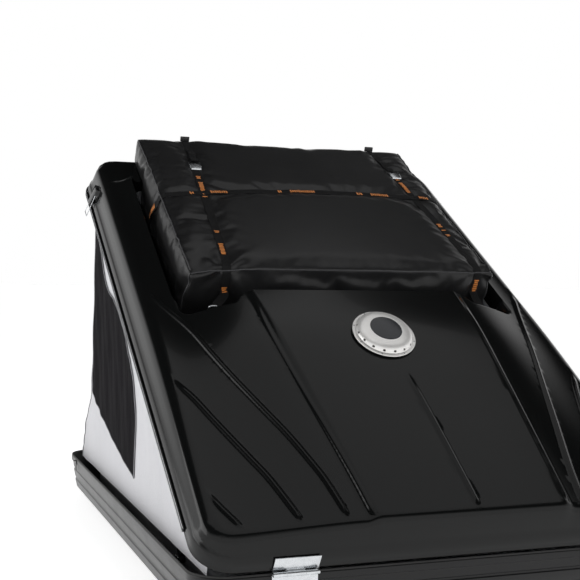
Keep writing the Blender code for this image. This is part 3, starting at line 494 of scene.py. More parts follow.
def makeLidShell():
    rows, columns = rowPlaces(), columnPlaces()
    bm = bmesh.new()
    bmesh.ops.create_grid(bm, x_segments=len(columns) - 1, y_segments=len(rows) - 1, size=1.0)
    bm.verts.ensure_lookup_table()
    for vert in bm.verts:
        column = round((vert.co.x + 1) / 2 * (len(columns) - 1))
        row = round((vert.co.y + 1) / 2 * (len(rows) - 1))
        u = rows[row]
        vert.co = (columns[column] * halfAt(u), u, 0.0)

    # cut the skin finer near creases and near the pocket's wall
    def needsFine(centres):
        u, v = centres[:, 1], centres[:, 0]
        flat = np.column_stack([v, u, lidHeight(u, v)])
        depth = pocketInset(u, v)
        near = (depth > -0.008) & (depth < np.where((u < 1.0) & (np.abs(v) > 0.3), 0.030, 0.016))
        edge = np.abs(np.abs(v) - panelHalf(u, v)) < 0.02
        near |= edge & (u < pocket["front"])
        near |= creaseField(flat, 0.004) > 0
        return near & (outlineInset(u, v) > creaseFrom + 0.004)

    faces = list(bm.faces)
    centres = np.array([f.calc_center_median() for f in faces])
    fine = [f for f, n in zip(faces, needsFine(centres)) if n]
    edges = list({e for f in fine for e in f.edges})
    bmesh.ops.subdivide_edges(bm, edges=edges, cuts=shell["fineCuts"], use_grid_fill=True)
    mesh = meshOf("lidShell", bm)
    co = meshPoints(mesh).copy()
    co[:, 2] = lidHeight(co[:, 1], co[:, 0])
    setPoints(mesh, co)
    push = creaseField(co)
    setPoints(mesh, co + meshNormals(mesh) * push[:, None])

    # turn the rim in under itself, and cut the vent's hole
    bm = bmesh.new()
    bm.from_mesh(mesh)
    bm.verts.ensure_lookup_table()
    rough = [bm.verts[i] for i in np.nonzero(push > 0.0002)[0]]
    for _ in range(3):
        bmesh.ops.smooth_vert(bm, verts=rough, factor=0.5, use_axis_x=True, use_axis_y=True, use_axis_z=True)
    border = [e for e in bm.edges if e.is_boundary]
    for inward, height in ((0.005, shell["rim"]), (0.005, shell["rim"] + 0.030)):
        ring = bmesh.ops.extrude_edge_only(bm, edges=border)["geom"]
        verts = vertsOf(ring)
        border = [e for e in edgesOf(ring) if e.is_boundary]
        centre = Vector((0, (shell["front"] + shell["rear"]) / 2, 0))
        for vert in verts:
            if height == shell["rim"]:
                away = vert.co - centre
                step = Vector((0.0, 0.0, 0.0))
                if abs(away.x) > shell["half"] - shell["corner"]:
                    step.x = -math.copysign(1, away.x)
                if abs(away.y) > (shell["rear"] - shell["front"]) / 2 - shell["corner"]:
                    step.y = -math.copysign(1, away.y)
                if step.x and step.y:
                    cx = math.copysign(shell["half"] - shell["corner"], away.x)
                    cy = math.copysign((shell["rear"] - shell["front"]) / 2 - shell["corner"], away.y)
                    step = Vector((cx - away.x, cy - away.y, 0)).normalized()
                vert.co += step * inward
            vert.co.z = height
    bmesh.ops.recalc_face_normals(bm, faces=bm.faces)
    faces = [f for f in bm.faces if (f.calc_center_median().xy - Vector((0, vent["at"]))).length < vent["skinHole"]]
    bmesh.ops.delete(bm, geom=faces, context="FACES")
    mesh = meshOf("lidShell", bm)
    return addPiece("lidShell", mesh, "lid", looks["glossShell"], "lid_shell", lidToRow, 50)


makeLidShell()
say("lid shell")


def makeStage():
    bm = bmesh.new()
    bmesh.ops.create_grid(bm, x_segments=1, y_segments=1, size=60.0)
    floor = bpy.data.objects.new("floor", meshOf("floor", bm))
    look = nodeLook("paleFloor", (0.90, 0.90, 0.90), 0.6, spread=0.02, cloud=0.5)
    shader = look.node_tree.nodes["Principled BSDF"]
    shader.inputs["Emission Color"].default_value = (1, 1, 1, 1)
    shader.inputs["Emission Strength"].default_value = 0.75
    floor.data.materials.append(look)
    bpy.context.collection.objects.link(floor)

    world = bpy.data.worlds.new("studio")
    bpy.context.scene.world = world
    world.use_nodes = True
    tree = world.node_tree
    back = tree.nodes["Background"]
    back.inputs["Color"].default_value = (1, 1, 1, 1)
    # bright walls to a little above the horizon, a dim ceiling over them
    place = tree.nodes.new("ShaderNodeTexCoord")
    split = tree.nodes.new("ShaderNodeSeparateXYZ")
    level = tree.nodes.new("ShaderNodeMapRange")
    level.inputs["From Min"].default_value, level.inputs["From Max"].default_value = light["wallTop"]
    level.inputs["To Min"].default_value = light["walls"]
    level.inputs["To Max"].default_value = light["ceiling"]
    tree.links.new(place.outputs["Generated"], split.inputs["Vector"])
    tree.links.new(split.outputs["Z"], level.inputs["Value"])
    tree.links.new(level.outputs["Result"], back.inputs["Strength"])

    for name, place, target, size, watts in light["softboxes"]:
        lamp = bpy.data.lights.new(name, "AREA")
        lamp.shape = "RECTANGLE"
        lamp.size, lamp.size_y = size
        lamp.energy = watts
        holder = bpy.data.objects.new(name, lamp)
        holder.location = place
        holder.rotation_euler = (Vector(target) - Vector(place)).to_track_quat("-Z", "Y").to_euler()
        bpy.context.collection.objects.link(holder)

    lens = bpy.data.cameras.new("camera")
    lens.lens = camera["lens"]
    lens.sensor_width = 36.0
    holder = bpy.data.objects.new("camera", lens)
    forward = Vector(camera["forward"]).normalized()
    up = Vector(camera["up"])
    across = forward.cross(up).normalized()
    up = across.cross(forward)
    turn = Matrix((across, up, -forward)).transposed().to_4x4()
    holder.matrix_world = Matrix.Translation(hinge + Vector(camera["fromHinge"])) @ turn
    bpy.context.collection.objects.link(holder)
    bpy.context.scene.camera = holder
    bpy.context.scene.view_settings.view_transform = "Standard"


light = {
    "walls": 1.0,
    "ceiling": 0.011,
    "wallTop": (0.30, 0.62),
    "softboxes": [
        ("sideBox", (-6.5, 1.2, 2.6), (0, 0, 0.8), (5.0, 2.6), 90.0),
        ("overhead", (0.5, -1.0, 6.5), (0, 0, 0.6), (7.0, 5.0), 72.0),
    ],
}
camera = {"fromHinge": (-1.3921, -2.5289, 0.7348), "forward": (0.34026, 0.94019, -0.01622),
          "up": (-0.00751, 0.01997, 0.99977), "lens": 68.94}
makeStage()
say("stage, lights and camera")


def bodyOf(node):
    return next(name for name, empty in frame["bodies"].items() if empty == frame["nodes"][node].parent)


# A copy of a plain CAD solid with its triangles merged and every sharp edge rounded
def refine(node, look, width=0.0006, segments=2, sharp=24):
    bm = bmesh.new()
    bm.from_mesh(frame["nodes"][node].data)
    bmesh.ops.remove_doubles(bm, verts=bm.verts, dist=1e-5)
    bmesh.ops.dissolve_limit(bm, angle_limit=math.radians(0.6), verts=bm.verts, edges=bm.edges)
    edges = [e for e in bm.edges if len(e.link_faces) == 2 and e.calc_face_angle(0) > math.radians(sharp)]
    roundEdges(bm, edges, width, segments)
    return addPiece(node + "_fine", bm, bodyOf(node), looks[look], node, None, 35)


# A round bar through points, as a mesh
def tube(points, radius, facets=3, closed=False):
    curve = bpy.data.curves.new("route", "CURVE")
    curve.dimensions = "3D"
    curve.bevel_depth = radius
    curve.bevel_resolution = facets
    curve.use_fill_caps = True
    spline = curve.splines.new("POLY")
    spline.points.add(len(points) - 1)
    for spot, point in zip(spline.points, points):
        spot.co = (*point, 1)
    spline.use_cyclic_u = closed
    holder = bpy.data.objects.new("route", curve)
    mesh = bpy.data.meshes.new_from_object(holder)
    bpy.data.objects.remove(holder)
    bpy.data.curves.remove(curve)
    return mesh


def roundBox(low, high, width, segments=3):
    bm = bmesh.new()
    middle = (Vector(low) + Vector(high)) / 2
    size = Vector(high) - Vector(low)
    bmesh.ops.create_cube(bm, size=1, matrix=Matrix.Translation(middle) @ Matrix.Diagonal((*size, 1)))
    roundEdges(bm, bm.edges[:], width, segments)
    return bm


# Spin an open (radius, height) line about Z
def turned(profile, steps=96):
    bm = bmesh.new()
    verts = [bm.verts.new((r, 0, z)) for r, z in profile]
    edges = [bm.edges.new(pair) for pair in zip(verts, verts[1:])]
    bmesh.ops.spin(bm, geom=verts + edges, cent=(0, 0, 0), axis=(0, 0, 1), angle=2 * math.pi, steps=steps,
                   use_merge=True)
    bmesh.ops.remove_doubles(bm, verts=bm.verts, dist=1e-6)
    bmesh.ops.recalc_face_normals(bm, faces=bm.faces)
    return bm


# Several bmeshes as one
def joined(parts):
    whole = bmesh.new()
    for part in parts:
        mesh = part if isinstance(part, bpy.types.Mesh) else meshOf("part", part)
        whole.from_mesh(mesh)
        bpy.data.meshes.remove(mesh)
    return whole


bag = {"front": 1.044, "rear": 1.951, "half": 0.531, "top": 0.228, "floor": 0.0480, "land": 0.1280, "step": 1.779,
       "round": 0.015, "crown": 0.015, "voxel": 0.011, "frames": 16, "pressure": 2.2, "cap": 0.010,
       "stretch": -0.015, "landLow": 0.1268, "floorLow": 0.0465}
strap = {"width": 0.028, "thick": 0.0014, "left": (-0.350, -0.405, -0.440), "right": (0.400, 0.478, 0.485),
         "anchorFront": (0.985, 0.1300), "anchorRear": (1.993, 0.064), "buckle": 1.715,
         "rearEdge": 1.955, "frontEdge": 1.040, "crossHalf": 0.5385, "rearGlide": 1.944}


def strapSide(side, u):
    rear, front, _ = strap[side]
    return rear + (front - rear) * (strap["rearEdge"] - u) / (strap["rearEdge"] - strap["frontEdge"])


# Where the cross strap passes, along the lid, at v
def crossSide(v):
    return 1.520 + 0.0205 * v / 0.536 + 0.020 * (1 - (v / 0.54) ** 2)


# Blow the bag's cloth up a little between the places where it is held
def inflate(mesh, held):
    start = meshPoints(mesh).copy()
    soft = bpy.data.objects.new("softBag", mesh)
    bpy.context.collection.objects.link(soft)
    group = soft.vertex_groups.new(name="held")
    group.add([int(i) for i in np.nonzero(held)[0]], 1.0, "REPLACE")
    cloth = soft.modifiers.new("cloth", "CLOTH")
    settings = cloth.settings
    settings.quality = 4
    settings.mass = 0.35
    settings.tension_stiffness = settings.compression_stiffness = 40
    settings.shear_stiffness = 12
    settings.bending_stiffness = 3
    settings.use_pressure = True
    settings.uniform_pressure_force = bag["pressure"]
    settings.effector_weights.gravity = 0
    settings.vertex_group_mass = "held"
    settings.shrink_min = bag["stretch"]
    cloth.collision_settings.use_collision = False
    cloth.point_cache.frame_end = bag["frames"]
    stage = bpy.context.scene
    for number in range(1, bag["frames"] + 1):
        stage.frame_set(number)
    shaped = soft.evaluated_get(bpy.context.evaluated_depsgraph_get())
    blown = meshPoints(shaped.data).copy()
    stage.frame_set(1)
    bpy.data.objects.remove(soft)
    move = blown - start
    reach = np.linalg.norm(move, axis=1, keepdims=True)
    return start + move * np.minimum(1, bag["cap"] / np.maximum(reach, 1e-9))


# Radiating folds where a strap bites into the front top edge
def foldsAround(co, spotV, size, phase):
    across = co[:, 0] - spotV
    onTop = co[:, 1] - bag["front"]
    down = bag["top"] - co[:, 2]
    around = np.where(onTop > down, onTop, -np.maximum(down, 0))
    reach = np.hypot(across, around)
    angle = np.arctan2(around, across)
    near = (co[:, 2] > 0.06) & (co[:, 1] < bag["front"] + 0.30)
    wave = np.cos(7 * angle + phase) * 0.6 + 0.4 * np.cos(11 * angle - phase)
    return near * size * wave * (1 - np.exp(-(reach / 0.022) ** 2)) * np.exp(-(reach / 0.095) ** 2)


def makeBag():
    b = bag
    side = [(b["front"] + 0.006, b["floor"]), (b["step"], b["floor"]), (b["step"], b["land"]),
            (b["rear"], b["land"]), (b["rear"], b["top"]), (b["front"], b["top"]), (b["front"], b["floor"] + 0.006)]
    bm = bmesh.new()
    face = bm.faces.new([bm.verts.new((-b["half"], u, w)) for u, w in side])
    end = bmesh.ops.extrude_face_region(bm, geom=[face])["geom"]
    bmesh.ops.translate(bm, verts=vertsOf(end), vec=(2 * b["half"], 0, 0))
    bmesh.ops.recalc_face_normals(bm, faces=bm.faces)
    roundEdges(bm, bm.edges[:], b["round"], 4)
    block = bpy.data.objects.new("bagBlock", meshOf("bagBlock", bm))
    bpy.context.collection.objects.link(block)
    remesh = block.modifiers.new("cells", "REMESH")
    remesh.mode = "VOXEL"
    remesh.voxel_size = b["voxel"]
    shaped = block.evaluated_get(bpy.context.evaluated_depsgraph_get())
    mesh = bpy.data.meshes.new_from_object(shaped)
    mesh.name = "cargoBag"
    bpy.data.objects.remove(block)

    co = meshPoints(mesh).copy()
    v, u, w = co[:, 0], co[:, 1], co[:, 2]
    middle = (b["front"] + b["rear"]) / 2
    reach = (b["rear"] - b["front"]) / 2
    upper = smoothStep((w - 0.10) / 0.12)
    dome = np.clip(1 - (v / 0.54) ** 2, 0, 1) ** 0.7 * np.clip(1 - ((u - middle) / (reach + 0.01)) ** 2, 0, 1) ** 0.6
    co[:, 2] += b["crown"] * dome * upper
    # the front left corner has less in it, so it slumps
    slump = np.exp(-(((v + 0.545) / 0.13) ** 2 + ((u - 1.03) / 0.10) ** 2)) * upper
    co[:, 2] -= 0.022 * slump
    co[:, 0] += 0.012 * slump
    held = w < b["floor"] + 0.012
    held |= (w < b["land"] + 0.012) & (u > b["step"])
    for name in ("left", "right"):
        held |= np.abs(v - strapSide(name, u)) < 0.013
    held |= (np.abs(u - crossSide(v)) < 0.013) & (w > 0.12)
    setPoints(mesh, co)
    co = inflate(mesh, held)

    # strap bites, folds and slack
    v, u, w = co[:, 0], co[:, 1], co[:, 2]
    push = foldsAround(co, -0.405, 0.0120, 0.6) + foldsAround(co, 0.478, 0.0110, 2.1)
    top = smoothStep((w - 0.17) / 0.04)
    edge = b["half"] - np.abs(v)
    push += top * 0.0016 * np.sin(2 * math.pi * u / 0.043 + 2.2 * np.sin(9 * u)) * np.exp(-(edge / 0.045) ** 2)
    ahead = u - b["front"]
    push += top * 0.0016 * np.sin(2 * math.pi * v / 0.047 + 2 * np.sin(7 * v)) * np.exp(-(ahead / 0.040) ** 2)
    frontFace = np.exp(-((u - b["front"]) / 0.02) ** 2) * (w > 0.06)
    push += frontFace * (0.0030 * np.sin(9.0 * v + 1.0) + 0.0018 * np.sin(31 * v + 40 * w))
    gap = u - crossSide(v)
    push += top * 0.0022 * np.sin(2 * math.pi * (v + 0.25 * gap) / 0.050) * np.exp(-(gap / 0.07) ** 2) \
        * np.exp(-(edge / 0.10) ** 2) * np.sign(gap)
    for name in ("left", "right"):
        gap = v - strapSide(name, u)
        push -= 0.0020 * np.exp(-(gap / 0.018) ** 2) * (w > 0.08)
        push += 0.0012 * top * np.sin(2 * math.pi * (u + 0.4 * np.abs(gap)) / 0.062) * np.exp(-(gap / 0.06) ** 2) \
            * (np.abs(gap) > 0.014)
    setPoints(mesh, co)
    co = co + meshNormals(mesh) * push[:, None]
    low = np.where(u > b["step"] - 0.004, b["landLow"], b["floorLow"])
    co[:, 2] = np.maximum(co[:, 2], low)
    setPoints(mesh, co)
    bm = bmesh.new()
    bm.from_mesh(mesh)
    bmesh.ops.smooth_vert(bm, verts=bm.verts, factor=0.4, use_axis_x=True, use_axis_y=True, use_axis_z=True)
    bm.to_mesh(mesh)
    surface = BVHTree.FromBMesh(bm)
    bm.free()
    piece = addPiece("cargoBag", mesh, "lid", looks["tarpaulin"], "cargo_bag", lidToRow, None)
    mesh.shade_smooth()
    finer = piece.modifiers.new("finer", "SUBSURF")
    finer.levels = finer.render_levels = 1
    return surface


# The place on the bag under point, seen from outside along outward
def onBag(surface, point, outward, lift, reach=0.035):
    hit = surface.ray_cast(point + outward * reach, -outward, 2 * reach)[0]
    return point if hit is None else hit + outward * lift


bagSkin = makeBag()
say("cargo bag")


def seamAlong(route, radius=0.0022):
    points = []
    for point in smoothRoute(route, 10):
        spot = Vector(point)
        near = bagSkin.find_nearest(spot)
        points.append(near[0] + near[1] * radius * 0.35)
    return tube(points, radius, 2)


def makeSeams():
    b, half = bag, bag["half"]
    edge = b["top"] - 0.002
    ahead = b["front"] + 0.002
    parts = [seamAlong([(-half + 0.01, ahead, edge - 0.018)] + [(v, ahead, edge) for v in (-0.3, 0, 0.3, half - 0.01)])]
    for sign in (-1, 1):
        v = sign * (half - 0.002)
        parts.append(seamAlong([(v, u, edge + 0.002) for u in (1.06, 1.2, 1.4, 1.6, 1.8, 1.94)]))
        parts.append(seamAlong([(v, b["front"] + 0.004, w) for w in (0.07, 0.12, 0.17, 0.205)]))
    addPiece("bagPiping", joined(parts), "lid", looks["piping"], (), lidToRow, 60)


makeSeams()


# A strap's course: places, sideways and outward directions, and length so far
def layOf(points, across, outward):
    route = smoothRoute(points, 6)
    run = np.gradient(route, axis=0)
    run /= np.linalg.norm(run, axis=1, keepdims=True)
    wide = np.tile(np.array(across, float), (len(route), 1))
    wide -= run * np.sum(wide * run, axis=1, keepdims=True)
    wide /= np.linalg.norm(wide, axis=1, keepdims=True)
    out = np.cross(wide, run) * outward
    settled = []
    for place, side, away in zip(route, wide, out):
        lifts = []
        for k in (-0.9, 0.0, 0.9):
            edge = Vector(place + side * k * strap["width"] / 2)
            lifts.append((onBag(bagSkin, edge, Vector(away), 0.0007, 0.016) - edge).dot(Vector(away)))
        settled.append(place + away * (max(lifts) if any(abs(x) > 1e-9 for x in lifts) else 0))
    settled = np.array(settled)
    for _ in range(2):
        settled[1:-1] = 0.25 * settled[:-2] + 0.5 * settled[1:-1] + 0.25 * settled[2:]
    length = lengthAlong(settled)
    return {"place": settled, "wide": wide, "out": out, "length": length}


# Webbing over part of a course, lifted off it, with its UV in metres
def ribbon(lay, start, stop, width, lift, thick, cell=0.006, shift=0.0, wave=None):
    count = max(int((stop - start) / cell), 2)
    bm = bmesh.new()
    uv = bm.loops.layers.uv.new("UVMap")
    bmesh.ops.create_grid(bm, x_segments=count, y_segments=4, size=1.0, calc_uvs=True)

    def at(key, s):
        return np.array([np.interp(s, lay["length"], lay[key][:, k]) for k in range(3)])

    for vert in bm.verts:
        s = start + (vert.co.x + 1) / 2 * (stop - start)
        t = vert.co.y * width / 2 + shift
        up = lift + (wave(s) if wave else 0.0) - 0.0003 * abs(vert.co.y) ** 3
        vert.co = Vector(at("place", s) + at("wide", s) * t + at("out", s) * up)
    for face in bm.faces:
        for loop in face.loops:
            spot = loop[uv].uv
            loop[uv].uv = (spot.x * (stop - start), spot.y * width)
    if wave:
        bmesh.ops.recalc_face_normals(bm, faces=bm.faces)
    else:
        faceTowards(bm, at("out", (start + stop) / 2))
    bmesh.ops.solidify(bm, geom=bm.faces[:], thickness=thick)
    return bm


# (from, to) along the lid on the long straps, across it on the cross strap
marks = {
    "left": [(1.640, 1.610), (1.595, 1.505), (1.490, 1.478), (1.262, 1.240), (1.180, 1.108)],
    "right": [(1.700, 1.668), (1.655, 1.585), (1.352, 1.325), (1.315, 1.298), (1.285, 1.262)],
    "cross": [(-0.425, -0.405), (-0.350, -0.285), (-0.105, -0.080), (-0.060, 0.045), (0.205, 0.235),
              (0.255, 0.335), (0.455, 0.500)],
    "frontFace": {"left": (0.158, 0.140), "right": (0.195, 0.145)},
    "bar": 0.0052, "step": 0.0080,
    "sideFace": (0.185, 0.115),
}


# Each mark is a row of small woven bars, plain and without any lettering
def markRow(lay, ends):
    bars = []
    for low, high in ends:
        for k in range(max(int((high - low) / marks["step"]), 1)):
            start = low + k * marks["step"]
            width = strap["width"] * (0.60, 0.46, 0.56, 0.50)[k % 4]
            bars.append(ribbon(lay, start, start + marks["bar"], width, strap["thick"] + 0.0003, 0.0004, 0.006))
    return joined(bars)


# Length along the strap where its place on an axis passes the value
def lengthAt(lay, axis, value, top=True):
    off = np.abs(lay["place"][:, axis] - value) + 10.0 * ((lay["place"][:, 2] > bag["top"]) != top)
    return lay["length"][int(np.argmin(off))]


# Number of the spot on top of the bag where a long strap is at u
def topSpot(lay, u):
    return int(np.argmin(np.abs(lay["place"][:, 1] - u) + (lay["place"][:, 2] < 0.2)))


# Length along the strap, in the given stretch of it, where it passes the height
def lengthAtHeight(lay, stretch, height):
    return lay["length"][stretch][int(np.argmin(np.abs(lay["place"][stretch, 2] - height)))]


def makeStraps():
    for side in sides:
        def spot(u, w):
            return (strapSide(side, u), u, w)

        points = [(strap[side][0], *strap["anchorRear"]), spot(1.966, 0.118), spot(1.9590, 0.150), spot(1.957, 0.180),
                  spot(1.956, 0.208), spot(1.949, 0.226), spot(1.930, 0.2325)]
        points += [spot(u, 0.236) for u in np.linspace(1.88, 1.10, 14)]
        points += [spot(1.064, 0.233), spot(1.046, 0.224), spot(1.039, 0.205), spot(1.038, 0.175), spot(1.037, 0.152),
                   spot(1.027, 0.139), (strap[side][2], *strap["anchorFront"])]
        lay = layOf(points, (1, 0, 0), -1)
        total = lay["length"][-1]
        addPiece("strap_" + side + "_web", ribbon(lay, 0, total, strap["width"], 0.0, strap["thick"]), "lid",
                 looks["webbing"], "strap_" + side, lidToRow, 60)
        ends = [(lengthAt(lay, 1, a), lengthAt(lay, 1, b)) for a, b in marks[side]]
        front = lay["place"][:, 1] < 1.06
        low = [lengthAtHeight(lay, front, w) for w in marks["frontFace"][side]]
        addPiece("strapMarks_" + side, markRow(lay, ends + [tuple(low)]), "lid", looks["strapMark"], (),
                 lidToRow, 60)
        # the loose tail behind the buckle
        seat = lay["length"][topSpot(lay, strap["buckle"])]
        tail = ribbon(lay, seat - 0.135, seat - 0.022, 0.025, 0.0030, 0.0013, 0.004,
                      0.003 if side == "left" else -0.004,
                      lambda s, seat=seat: 0.0045 * math.sin((s - seat) * 52) ** 2 + 0.002)
        addPiece("strapTail_" + side, tail, "lid", looks["webbing"], (), lidToRow, 60)
        glide = roundBox((-0.017, -0.004, -0.007), (0.017, 0.004, 0.011), 0.002)
        rear = lay["place"][topSpot(lay, strap["rearGlide"])]
        glide.transform(Matrix.Translation(Vector(rear) + Vector((0, 0.004, 0.006)))
                        @ Matrix.Rotation(math.radians(-12), 4, "X"))
        addPiece("strapGlide_" + side, glide, "lid", looks["blackPlastic"], (), lidToRow, 40)

    half = strap["crossHalf"]
    points = [(-half - 0.006, 1.575, 0.0735), (-half - 0.001, 1.560, 0.105), (-half, 1.545, 0.140),
              (-half, 1.520, 0.185), (-half + 0.001, 1.503, 0.216), (-half + 0.012, 1.500, 0.2345)]
    points += [(v, crossSide(v), 0.240) for v in np.linspace(-0.50, 0.50, 19)]
    points += [(half - 0.012, 1.540, 0.2345), (half - 0.001, 1.543, 0.216), (half, 1.546, 0.185),
               (half, 1.551, 0.140), (half + 0.001, 1.556, 0.105), (half + 0.006, 1.560, 0.0735)]
    lay = layOf(points, (0, -1, 0), 1)
    # it crosses over the two long straps
    for side in ("left", "right"):
        gap = lay["place"][:, 0] - strapSide(side, 1.52)
        over = (np.abs(gap) < 0.05) & (lay["place"][:, 2] > 0.2)
        lay["place"][over, 2] += 0.0024 * (1 - smoothStep((np.abs(gap[over]) - 0.016) / 0.03))
    total = lay["length"][-1]
    addPiece("strap_cross_web", ribbon(lay, 0, total, strap["width"], 0.0, strap["thick"]), "lid",
             looks["webbing"], "strap_cross", lidToRow, 60)
    ends = [(lengthAt(lay, 0, a), lengthAt(lay, 0, b)) for a, b in marks["cross"]]
    left = lay["place"][:, 0] < -0.5
    ends.append(tuple(sorted(lengthAtHeight(lay, left, w) for w in marks["sideFace"])))
    addPiece("strapMarks_cross", markRow(lay, ends), "lid", looks["strapMark"], (), lidToRow, 60)


makeStraps()
say("straps")


# A bent steel loop on two small feet that a strap end hooks on
def stapleBar(name, node, centre, across, down, depth, reach=0.0175, radius=0.0024):
    centre, across, down = Vector(centre), Vector(across), Vector(down)
    bend = 0.006
    corners = [(-reach, depth), (-reach, bend), (-reach + 0.3 * bend, 0.3 * bend), (-reach + bend, 0), (0, 0),
               (reach - bend, 0), (reach - 0.3 * bend, 0.3 * bend), (reach, bend), (reach, depth)]
    bar = tube([centre + across * a + down * b for a, b in corners], radius, 4)
    parts = [bar]
    for sign in (-1, 1):
        foot = roundBox((-0.0065, -0.0065, 0.0), (0.0065, 0.0065, 0.0022), 0.0009)
        turn = down.to_track_quat("-Z", "Y").to_matrix().to_4x4()
        foot.transform(Matrix.Translation(centre + across * sign * reach + down * (depth - 0.0003)) @ turn)
        parts.append(foot)
    addPiece(name, joined(parts), "lid", looks["zinc"], node, lidToRow, 40)


def makeHardware():
    for side, sign in sides.items():
        stapleBar("stapleFront_" + side, "anchor_front_" + side, (strap[side][2], 0.985, 0.1260), (1, 0, 0),
                  (0, 0, -1), 0.0800, 0.0215, 0.0036)
        stapleBar("stapleSide_" + side, "anchor_side_" + side, (sign * 0.5428, 1.575 if sign < 0 else 1.560, 0.070),
                  (0, 1, 0), (0, 0, -1), 0.0245)
        stapleBar("stapleRear_" + side, "anchor_rear_" + side, (strapSide(side, 1.9935), 1.9945, 0.060), (1, 0, 0),
                  (0, -1, 0), 0.007)
        refine("buckle_frame_" + side, "zinc", 0.0007)
        refine("buckle_lever_" + side, "zinc", 0.0007)
        refine("latch_plate_" + side, "blackMetal", 0.0006)
        refine("latch_lever_" + side, "blackMetal", 0.0010, 3)
        refine("latch_bail_" + side, "zinc", 0.0009, 3)
        refine("latch_keeper_" + side, "blackMetal", 0.0006)
        for node in ("hinge_base_leaf_", "hinge_lid_leaf_", "strut_base_bracket_", "strut_lid_bracket_"):
            refine(node + side, "zinc", 0.0005)
        refine("strut_tube_" + side, "blackMetal", 0.0008, 2, 40)
        refine("rail_" + side, "aluminium", 0.0012, 2, 60)
        for node, look in (("hinge_pin_", "steel"), ("strut_rod_", "stainless")):
            paint(node + side, look)
    for number in range(1, 5):
        paint("rail_bolt_%d" % number, "zinc")


# A CAD node whose shape is right gets its finish
def paint(node, look):
    mesh = frame["nodes"][node].data
    mesh.materials.clear()
    mesh.materials.append(looks[look])


looks["blackMetal"] = nodeLook("blackMetal", (0.017, 0.017, 0.018), 0.30, 0.2, spread=0.3, wear=80.0,
                               bumps=[("noise", 900.0, 0.12, 0.0002)])
makeHardware()
say("anchors, buckles, latches, hinges, struts, rails")


ventToRow = lidToRow @ Matrix.Translation((0, vent["at"], panel["frontHeight"] + panel["slope"] * vent["at"])) \
    @ Matrix.Rotation(math.atan(panel["slope"]), 4, "X")


def makeVent():
    flange = turned([(0.0673, 0.0030), (0.0955, 0.0030), (0.0973, 0.0034), (0.0980, 0.0042), (0.0976, 0.0051),
                     (0.0962, 0.0058), (0.0940, 0.0061), (0.0925, 0.0057), (0.0912, 0.0057), (0.0900, 0.0060),
                     (0.0690, 0.0060), (0.0673, 0.0055), (0.0673, 0.0030)], 128)
    addPiece("ventFlangeRing", flange, "lid", looks["stainless"], "vent_flange", ventToRow, 40)

    steps = vent["slots"] * 9
    line = [(0.0493, 0.0267), (0.0515, 0.0266), (0.0560, 0.0262), (0.0620, 0.0254), (0.0680, 0.0243), (0.0730, 0.0230),
            (0.0775, 0.0211), (0.0810, 0.0188), (0.0838, 0.0162), (0.0856, 0.0138), (0.0872, 0.0114),
            (0.0885, 0.0094), (0.0893, 0.0086)]
    dome = turned(line, steps)
    slot = []
    for face in dome.faces:
        middle = face.calc_center_median()
        column = int((math.atan2(middle.y, middle.x) / (2 * math.pi) % 1) * steps)
        if 0.0838 < middle.xy.length < 0.0874 and column % 9 < 2:
            slot.append(face)
    bmesh.ops.delete(dome, geom=slot, context="FACES")
    bmesh.ops.solidify(dome, geom=dome.faces[:], thickness=-0.0009)
    bmesh.ops.recalc_face_normals(dome, faces=dome.faces)
    addPiece("ventCover", dome, "lid", looks["stainless"], "vent_dome", ventToRow, 50)

    posts = []
    for k in range(3):
        angle = 2 * math.pi * (k + 0.5) / 3
        post = bmesh.new()
        place = Matrix.Translation((vent["post"] * math.cos(angle), vent["post"] * math.sin(angle), 0.0117))
        bmesh.ops.create_cone(post, cap_ends=True, segments=20, radius1=0.0042, radius2=0.0036, depth=0.0108,
                              matrix=place)
        posts.append(post)
    skirt = turned([(0.0800, 0.0062), (0.0800, 0.0150)], 96)
    addPiece("ventScreen", joined([skirt] + posts), "lid", looks["blackPlastic"], (), ventToRow, 40)

    disc = turned([(0, 0.0293), (0.0460, 0.0292), (0.0478, 0.0289), (0.0489, 0.0282), (0.0492, 0.0274),
                   (0.0492, 0.0268)], 96)
    addPiece("solarDisc", disc, "lid", looks["solar"], "solar_panel", ventToRow, 40)

    heads = []
    for k in range(vent["screws"]):
        angle = 2 * math.pi * (k + 0.5) / vent["screws"]
        head = turned([(0, 0.0020), (0.0010, 0.0019), (0.0019, 0.0014), (0.0025, 0.0004), (0.0025, 0.0)], 16)
        head.transform(Matrix.Translation((vent["screwRing"] * math.cos(angle), vent["screwRing"] * math.sin(angle),
                                           0.0057)))
        heads.append(head)
    addPiece("ventScrews", joined(heads), "lid", looks["steel"], (), ventToRow, 40)
    refine("vent_duct", "blackPlastic", 0.0005)
    refine("vent_fan", "blackPlastic", 0.0004)
    paint("vent_gasket", "rubber")


makeVent()
say("roof vent")


trim = {"grow": 0.0003, "thick": 0.0040, "low": 0.0044, "high": 0.0182, "bead": 0.0016, "front": 0.16}
tray = {"taper": 0.020, "top": -0.0042, "bottom": -0.1338, "cornerSteps": 14}


# The shell's rounded outline as (v, u), once round from the right front corner
def outlineAt(grow, steps=14):
    r = shell["corner"] + grow
    half, front, rear = shell["half"] + grow, shell["front"] - grow, shell["rear"] + grow
    points = []
    for cv, cu, turn in ((half - r, rear - r, 0), (r - half, rear - r, 90), (r - half, front + r, 180),
                         (half - r, front + r, 270)):
        for k in range(steps + 1):
            angle = math.radians(turn + 90 * k / steps)
            points.append((cv + r * math.cos(angle), cu + r * math.sin(angle)))
    return points


